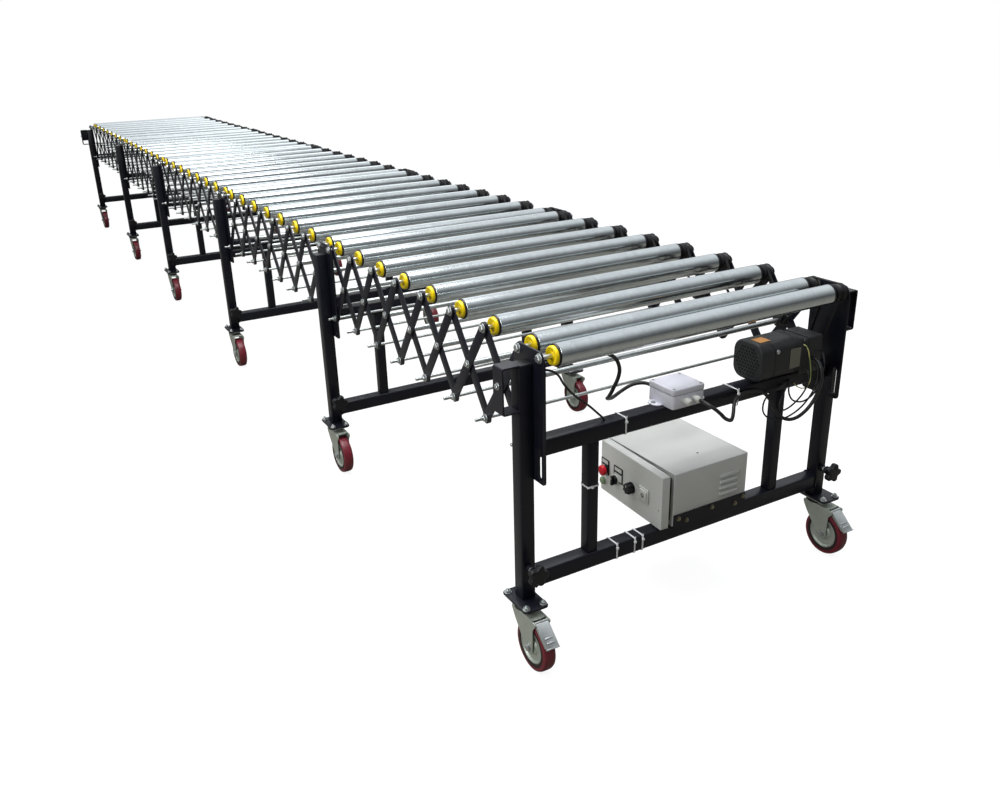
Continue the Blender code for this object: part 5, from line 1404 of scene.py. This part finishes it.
class CONVEYOR_OT_drive(bpy.types.Operator):
    """Make the motor, gearbox and belt pulley"""

    bl_idname = "conveyor.drive"
    bl_label = "Drive"

    def execute(self, context):
        x, z = leg_places()[0], DRIVE_HEIGHT
        self.motor(x, z)
        self.gearbox(x, z)
        s = Surfaces()
        start, end, bore, rim, lip = 0.3886, 0.4106, 0.0084, 0.0205, 0.0208
        profile = [(bore, start), (rim, start), (lip, start + 0.0016), (PULLEY_RADIUS, start + 0.0024)]
        profile += [(PULLEY_RADIUS, end - 0.0015), (lip, end - 0.0008), (rim, end), (bore, end)]
        s.turned(profile, (x, 0, z), "Y", "black", 36, loop=True)
        s.piece("drive_pulley_dressed", "drive_pulley", "black_plastic", "drive_pulley")
        return {"FINISHED"}

    def motor(self, x, z):
        """The motor's rounded square body, fan cowl with its grille, terminal cap and blank plates."""
        s = Surfaces()
        start = 0.1765
        body, ridge, cowl = (
            rounded_rectangle(across, across, corner, (x, z), 6)
            for across, corner in ((0.096, 0.026), (0.0980, 0.027), (0.0990, 0.030))
        )
        s.slab(body, start + 0.044, 0.3130, "Y", "motor", 0.0020)
        for k in range(4):
            y = start + 0.1175 + 0.0046 * k
            s.slab(ridge, y, y + 0.0022, "Y", "motor", 0.0006, 1)
        s.slab(cowl, start, start + 0.0455, "Y", "motor", 0.0060, 4)
        for row, column in np.ndindex(9, 9):
            dx = 0.0096 * (column - 4 + (0.5 if row % 2 else 0.0))
            dz = 0.0084 * (row - 4)
            if math.hypot(dx, dz) < 0.0400:
                # Each grille hole is a near-black disc: painted shade in the hole.
                hole = circle(0.0036, 6, (x + dx, z + dz))
                s.slab(hole, start - 0.0004, start + 0.0016, "Y", "dark", 0.0003, 1)
        cap = [(0.0056, -0.0010), (0.0056, 0.0024), (0.0044, 0.0034)]
        s.turned(cap, (x + 0.0470, 0.2300, z + 0.0255), "X", "zinc", 24)
        plate = rounded_rectangle(0.034, 0.050, 0.001, (0.2900, z - 0.001))
        s.slab(plate, x + 0.0478, x + 0.0495, "X", "plate", 0.0004, 1)
        blank = rounded_rectangle(0.032, 0.034, 0.001, (x + 0.008, 0.2090))
        s.slab(blank, z + 0.0492, z + 0.0500, "Z", "caution", 0.0003, 1)
        s.piece("motor_dressed", "control_leg", "dark_motor_enamel", "drive_motor")

    def gearbox(self, x, z):
        """The gearbox: square flange, stepped housing on the crossbar, lug, screws and output shaft."""
        s = Surfaces()
        for half, start, end, low, high, corner, bevel in (
            (0.044, 0.3133, 0.3230, BAR_SEAT, z + 0.042, 0.005, 0.0015),
            (0.041, 0.3220, 0.3800, BAR_SEAT, z + 0.038, 0.008, 0.0020),
            (0.043, 0.3420, 0.3883, BAR_SEAT, z + 0.041, 0.006, 0.0015),
            (0.020, 0.3170, 0.3240, z + 0.039, z + 0.0435, 0.002, 0.0008),
        ):
            s.box((x - half, start, low), (x + half, end, high), corner, "motor", "Y", bevel)
        for dx in (-0.036, 0.036):
            for dz in (-0.046, 0.034):
                s.bolt((x + dx, 0.3134, z + dz), "Y", -1, (0.0044, 0.0040), "black")
                s.bolt((x + dx, 0.3232, z + dz), "Y", 1, (0.0044, 0.0044))
        s.rod((x, 0.3870, z), (x, 0.4106, z), 0.0078, "Y", steps=20)
        s.piece("gearbox_dressed", "control_leg", "dark_motor_enamel", "gearbox")


class CONVEYOR_OT_junction_box(bpy.types.Operator):
    """Make the cable box with its lid, screws, flange and glands"""

    bl_idname = "conveyor.junction_box"
    bl_label = "Junction box"

    def execute(self, context):
        x, y, base = leg_places()[0], -0.045, BAR_SEAT
        s = Surfaces()
        for half, low, high, radius, finish, bevel in (
            ((0.0450, 0.0470), 0.0, 0.0330, 0.006, "pale", 0.0010),
            # The thin near-black band between body and lid: painted shade in the seam.
            ((0.0435, 0.0455), 0.0320, 0.0340, 0.005, "dark", 0.0002),
            ((0.0460, 0.0480), 0.0338, 0.0480, 0.007, "pale", 0.0022),
        ):
            s.block((x, y), half, base + low, base + high, radius, finish, bevel)
        well = [(0.0042, 0.0478), (0.0042, 0.0484), (0.0034, 0.0486), (0.0030, 0.0480)]
        for dx in (-0.038, 0.038):
            for dy in (-0.040, 0.040):
                s.turned(well, (x + dx, y + dy, base), "Z", "label", 16)
        for sign in SIDES:
            along = x + sign * 0.012
            ear = rounded_rectangle(0.040, 0.034, 0.014, (along, y + sign * 0.050), 5)
            s.slab(ear, base, base + 0.0034, "Z", "pale", 0.0010)
            s.bolt((along, y + sign * 0.059, base + 0.0034), "Z", 1, (0.0044, 0.0024))
        for sign, across in ((1, 0.014), (1, -0.014), (-1, -0.017)):
            self.gland(s, (x + sign * 0.046, y + across, base + 0.0192), sign)
        s.piece("junction_box_dressed", "control_leg", "pale_grey_plastic", "junction_box")
        return {"FINISHED"}

    def gland(self, s, start, sign):
        """A cable gland along X: washer, hexagon and a ribbed dome nut."""
        face = start[0]
        hexagon = circle(0.0088, 6, start[1:])
        s.slab(hexagon, face - sign * 0.001, face + sign * 0.0060, "X", "label", 0.0008, 1)
        dome = [(0.0070, 0.0050), (0.0086, 0.0062), (0.0088, 0.0130), (0.0082, 0.0176)]
        dome += [(0.0066, 0.0205), (0.0050, 0.0218)]
        s.turned([(r, sign * a) for r, a in dome], start, "X", "label", 24)


class CONVEYOR_OT_ties(bpy.types.Operator):
    """Make the white cable ties"""

    bl_idname = "conveyor.ties"
    bl_label = "Cable ties"

    def execute(self, context):
        x = leg_places()[0]
        bar, upright = sizes().crossbar_size, sizes().upright_size
        s = Surfaces()
        for y, z, wider in (
            (-0.207, UPPER_BAR, 0.0),
            (0.122, UPPER_BAR, 0.012),
            (-0.223, LOWER_BAR, 0.0),
            (-0.170, LOWER_BAR, 0.0),
            (-0.146, LOWER_BAR, 0.0),
        ):
            self.tie(s, y, (x + wider / 2, z), (bar + wider, bar), "Y", x + wider + bar / 2)
        self.tie(s, 0.400, (x, -UPRIGHT_Y), (upright, upright), "Z", x + upright / 2)
        s.piece("cable_ties", "control_leg", "pale_grey_plastic")
        return {"FINISHED"}

    def tie(self, s, depth, centre, size, axis, front):
        """A flat strap pulled round a tube, with its lock and the cut end."""
        outer = rounded_rectangle(size[0] + 0.0032, size[1] + 0.0032, 0.005, centre)
        inner = rounded_rectangle(size[0] + 0.0006, size[1] + 0.0006, 0.004, centre)
        s.band(outer, inner, depth - 0.0018, depth + 0.0018, axis, "white")
        lock, tail = ((0.008, 0.014), (0.012, 0.026)) if axis == "Y" else ((-0.008, -0.002), (-0.020, -0.004))
        for (start, end), near, far, half, radius in (
            (lock, 0.0, 0.0056, 0.0030, 0.0010),
            (tail, 0.0020, 0.0034, 0.0012, 0.0004),
        ):
            low = (front + near, depth - half, centre[1] + start)
            high = (front + far, depth + half, centre[1] + end)
            if axis == "Z":
                low, high = (low[0], low[2], low[1]), (high[0], high[2], high[1])
            s.box(low, high, radius, "white")


class CONVEYOR_OT_stage(bpy.types.Operator):
    """Set the floor, the light and the camera"""

    bl_idname = "conveyor.stage"
    bl_label = "Stage"

    def execute(self, context):
        self.camera(context)
        self.floor(context)
        self.lights(context)
        context.scene.view_settings.view_transform = "Standard"
        return {"FINISHED"}

    def camera(self, context):
        """The photograph's viewing angle, from its fitted yaw, pitch and roll."""
        yaw, pitch, roll = (math.radians(angle) for angle in CAMERA_YAW_PITCH_ROLL)
        level_share = math.cos(pitch)
        ahead = Vector((-level_share * math.cos(yaw), -level_share * math.sin(yaw), -math.sin(pitch)))
        level = ahead.cross(Vector((0, 0, 1))).normalized()
        up = level.cross(ahead)
        right = math.cos(roll) * level + math.sin(roll) * up
        top = math.cos(roll) * up - math.sin(roll) * level
        data = bpy.data.cameras.new("camera")
        data.sensor_width = SENSOR_WIDTH
        data.lens = FOCAL_PIXELS * SENSOR_WIDTH / PICTURE_WIDTH
        camera = bpy.data.objects.new("camera", data)
        roller_1 = Vector((leg_places()[0] + sizes().pair_spacing / 2, 0, 0))
        turn = Matrix((right, top, -ahead)).transposed().to_4x4()
        camera.matrix_world = Matrix.Translation(roller_1 + Vector(CAMERA_PLACE)) @ turn
        context.scene.collection.objects.link(camera)
        context.scene.camera = camera

    def white_share(self, tree):
        """How much of the white surround a ray sees: all through the lens or glass, a part in a reflection.

        A workshop stood round the real conveyor, so its rollers mirror less white than the cut-out shows.
        """
        rays = add_node(tree, "ShaderNodeLightPath")
        part = {"operation": "MULTIPLY"}
        mirrored = add_node(tree, "ShaderNodeMath", part, _0=rays.outputs["Is Glossy Ray"], _1=MIRRORED_WHITE)
        seen, through = rays.outputs["Is Camera Ray"], rays.outputs["Is Transmission Ray"]
        clear = add_node(tree, "ShaderNodeMath", {"operation": "ADD"}, _0=seen, _1=through)
        clamped = {"operation": "ADD", "use_clamp": True}
        total = add_node(tree, "ShaderNodeMath", clamped, _0=mirrored.outputs[0], _1=clear.outputs[0])
        return total.outputs[0]

    def floor(self, context):
        """A wide pale floor that keeps a soft shadow but shows as white paper to the camera."""
        mesh = bpy.data.meshes.new("studio_floor")
        corners = [(sx * FLOOR_REACH, sy * FLOOR_REACH, 0) for sx, sy in ((-1, -1), (1, -1), (1, 1), (-1, 1))]
        mesh.from_pydata(corners, [], [(0, 1, 2, 3)])
        white = linear("#f4f4f4")
        material, tree, shader, place = new_material("white_paper", white, 0.9)
        grain = add_node(tree, "ShaderNodeTexNoise", Vector=place, Scale=3.0, Detail=3.0).outputs["Fac"]
        paper = patterned(tree, shader, white, (grain, 0.985, 1.0))
        seen = self.white_share(tree)
        rgba = {"data_type": "RGBA"}
        tone = add_node(tree, "ShaderNodeMix", rgba, _0=seen, _6=linear("#69655b"), _7=paper)
        tree.links.new(tone.outputs[2], shader.inputs["Base Color"])
        glow = add_node(tree, "ShaderNodeEmission", Color=(1.0, 1.0, 1.0, 1.0), Strength=1.1)
        share = add_node(tree, "ShaderNodeMath", {"operation": "MULTIPLY"}, _0=seen, _1=0.82)
        mix = add_node(
            tree, "ShaderNodeMixShader", _0=share.outputs[0], _1=shader.outputs[0], _2=glow.outputs[0]
        )
        tree.links.new(mix.outputs[0], tree.nodes["Material Output"].inputs["Surface"])
        mesh.materials.append(material)
        floor = bpy.data.objects.new("studio_floor", mesh)
        context.scene.collection.objects.link(floor)

    def lights(self, context):
        """A white surround, dimmer near the horizon, with broad overhead, side and far lamps."""
        world = bpy.data.worlds.new("studio")
        context.scene.world = world
        world.use_nodes = True
        tree = world.node_tree
        tree.nodes.clear()
        out = add_node(tree, "ShaderNodeOutputWorld")
        ray = add_node(tree, "ShaderNodeTexCoord").outputs["Generated"]
        dot = {"operation": "DOT_PRODUCT"}
        facing = add_node(tree, "ShaderNodeVectorMath", dot, _0=ray, _1=(-0.60, 0.20, 0.77))
        soft = {"interpolation_type": "SMOOTHSTEP"}
        limits = {"From_Min": -0.15, "From_Max": 0.85, "To_Min": 0.16, "To_Max": 0.98}
        back = add_node(tree, "ShaderNodeMapRange", soft, Value=facing.outputs["Value"], **limits)
        height = add_node(tree, "ShaderNodeSeparateXYZ", Vector=ray)
        limits = {"From_Min": 0.02, "From_Max": 0.34, "To_Min": 0.42, "To_Max": 1.0}
        rise = add_node(tree, "ShaderNodeMapRange", soft, Value=height.outputs["Z"], **limits)
        part = {"operation": "MULTIPLY"}
        fade = add_node(tree, "ShaderNodeMath", part, _0=back.outputs[0], _1=rise.outputs[0])
        seen = add_node(tree, "ShaderNodeBackground", Strength=1.0, Color=(1.0, 1.0, 1.0, 1.0))
        light = add_node(tree, "ShaderNodeBackground", Color=(0.94, 0.97, 1.0, 1.0), Strength=fade.outputs[0])
        share = self.white_share(tree)
        mix = add_node(tree, "ShaderNodeMixShader", _0=share, _1=light.outputs[0], _2=seen.outputs[0])
        tree.links.new(mix.outputs[0], out.inputs["Surface"])
        x = leg_places()[0]
        for name, place, target, size, power in (
            ("overhead_softbox", (x - 1.0, -0.4, 3.6), (x - 1.0, 0.0, 0.5), 2.6, 170.0),
            ("side_softbox", (x + 0.6, -3.2, 2.0), (x, 0.0, 0.4), 1.6, 48.0),
            ("far_softbox", (x - 6.0, 1.5, 3.6), (x - 5.0, 0.0, 0.5), 3.0, 22.0),
        ):
            data = bpy.data.lights.new(name, "AREA")
            data.size = size
            data.energy = power
            lamp = bpy.data.objects.new(name, data)
            lamp.location = place
            lamp.rotation_euler = (Vector(target) - Vector(place)).to_track_quat("-Z", "Y").to_euler()
            context.scene.collection.objects.link(lamp)


class CONVEYOR_PT_panel(bpy.types.Panel):
    """The conveyor's sizes, colours and pieces"""

    bl_idname = "CONVEYOR_PT_panel"
    bl_label = "Flexible roller conveyor"
    bl_space_type = "VIEW_3D"
    bl_region_type = "UI"
    bl_category = "Conveyor"

    def draw(self, context):
        layout = self.layout
        for group in (context.scene.conveyor_sizes, context.scene.conveyor_colours):
            for name in group.__annotations__:
                layout.prop(group, name)
        for operator in OPERATORS:
            layout.operator(operator.bl_idname)


OPERATORS = (
    CONVEYOR_OT_stage,
    CONVEYOR_OT_cables,
    CONVEYOR_OT_legs,
    CONVEYOR_OT_scissors,
    CONVEYOR_OT_rollers,
    CONVEYOR_OT_belts,
    CONVEYOR_OT_casters,
    CONVEYOR_OT_drive,
    CONVEYOR_OT_junction_box,
    CONVEYOR_OT_control_box,
    CONVEYOR_OT_ties,
)
GROUPS = (ConveyorSizes, ConveyorColours)


def register():
    """Adds the classes, with the sizes and colours as settings of the scene."""
    for cls in (*GROUPS, *OPERATORS, CONVEYOR_PT_panel):
        bpy.utils.register_class(cls)
    bpy.types.Scene.conveyor_sizes = bpy.props.PointerProperty(type=ConveyorSizes)
    bpy.types.Scene.conveyor_colours = bpy.props.PointerProperty(type=ConveyorColours)


def unregister():
    """Takes away what register adds."""
    del bpy.types.Scene.conveyor_sizes
    del bpy.types.Scene.conveyor_colours
    for cls in reversed((*GROUPS, *OPERATORS, CONVEYOR_PT_panel)):
        bpy.utils.unregister_class(cls)


def main():
    """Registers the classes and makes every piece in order."""
    register()
    FINISHES.update(make_finishes())
    for operator in OPERATORS:
        group, name = operator.bl_idname.split(".")
        getattr(getattr(bpy.ops, group), name)()


if __name__ == "__main__":
    main()
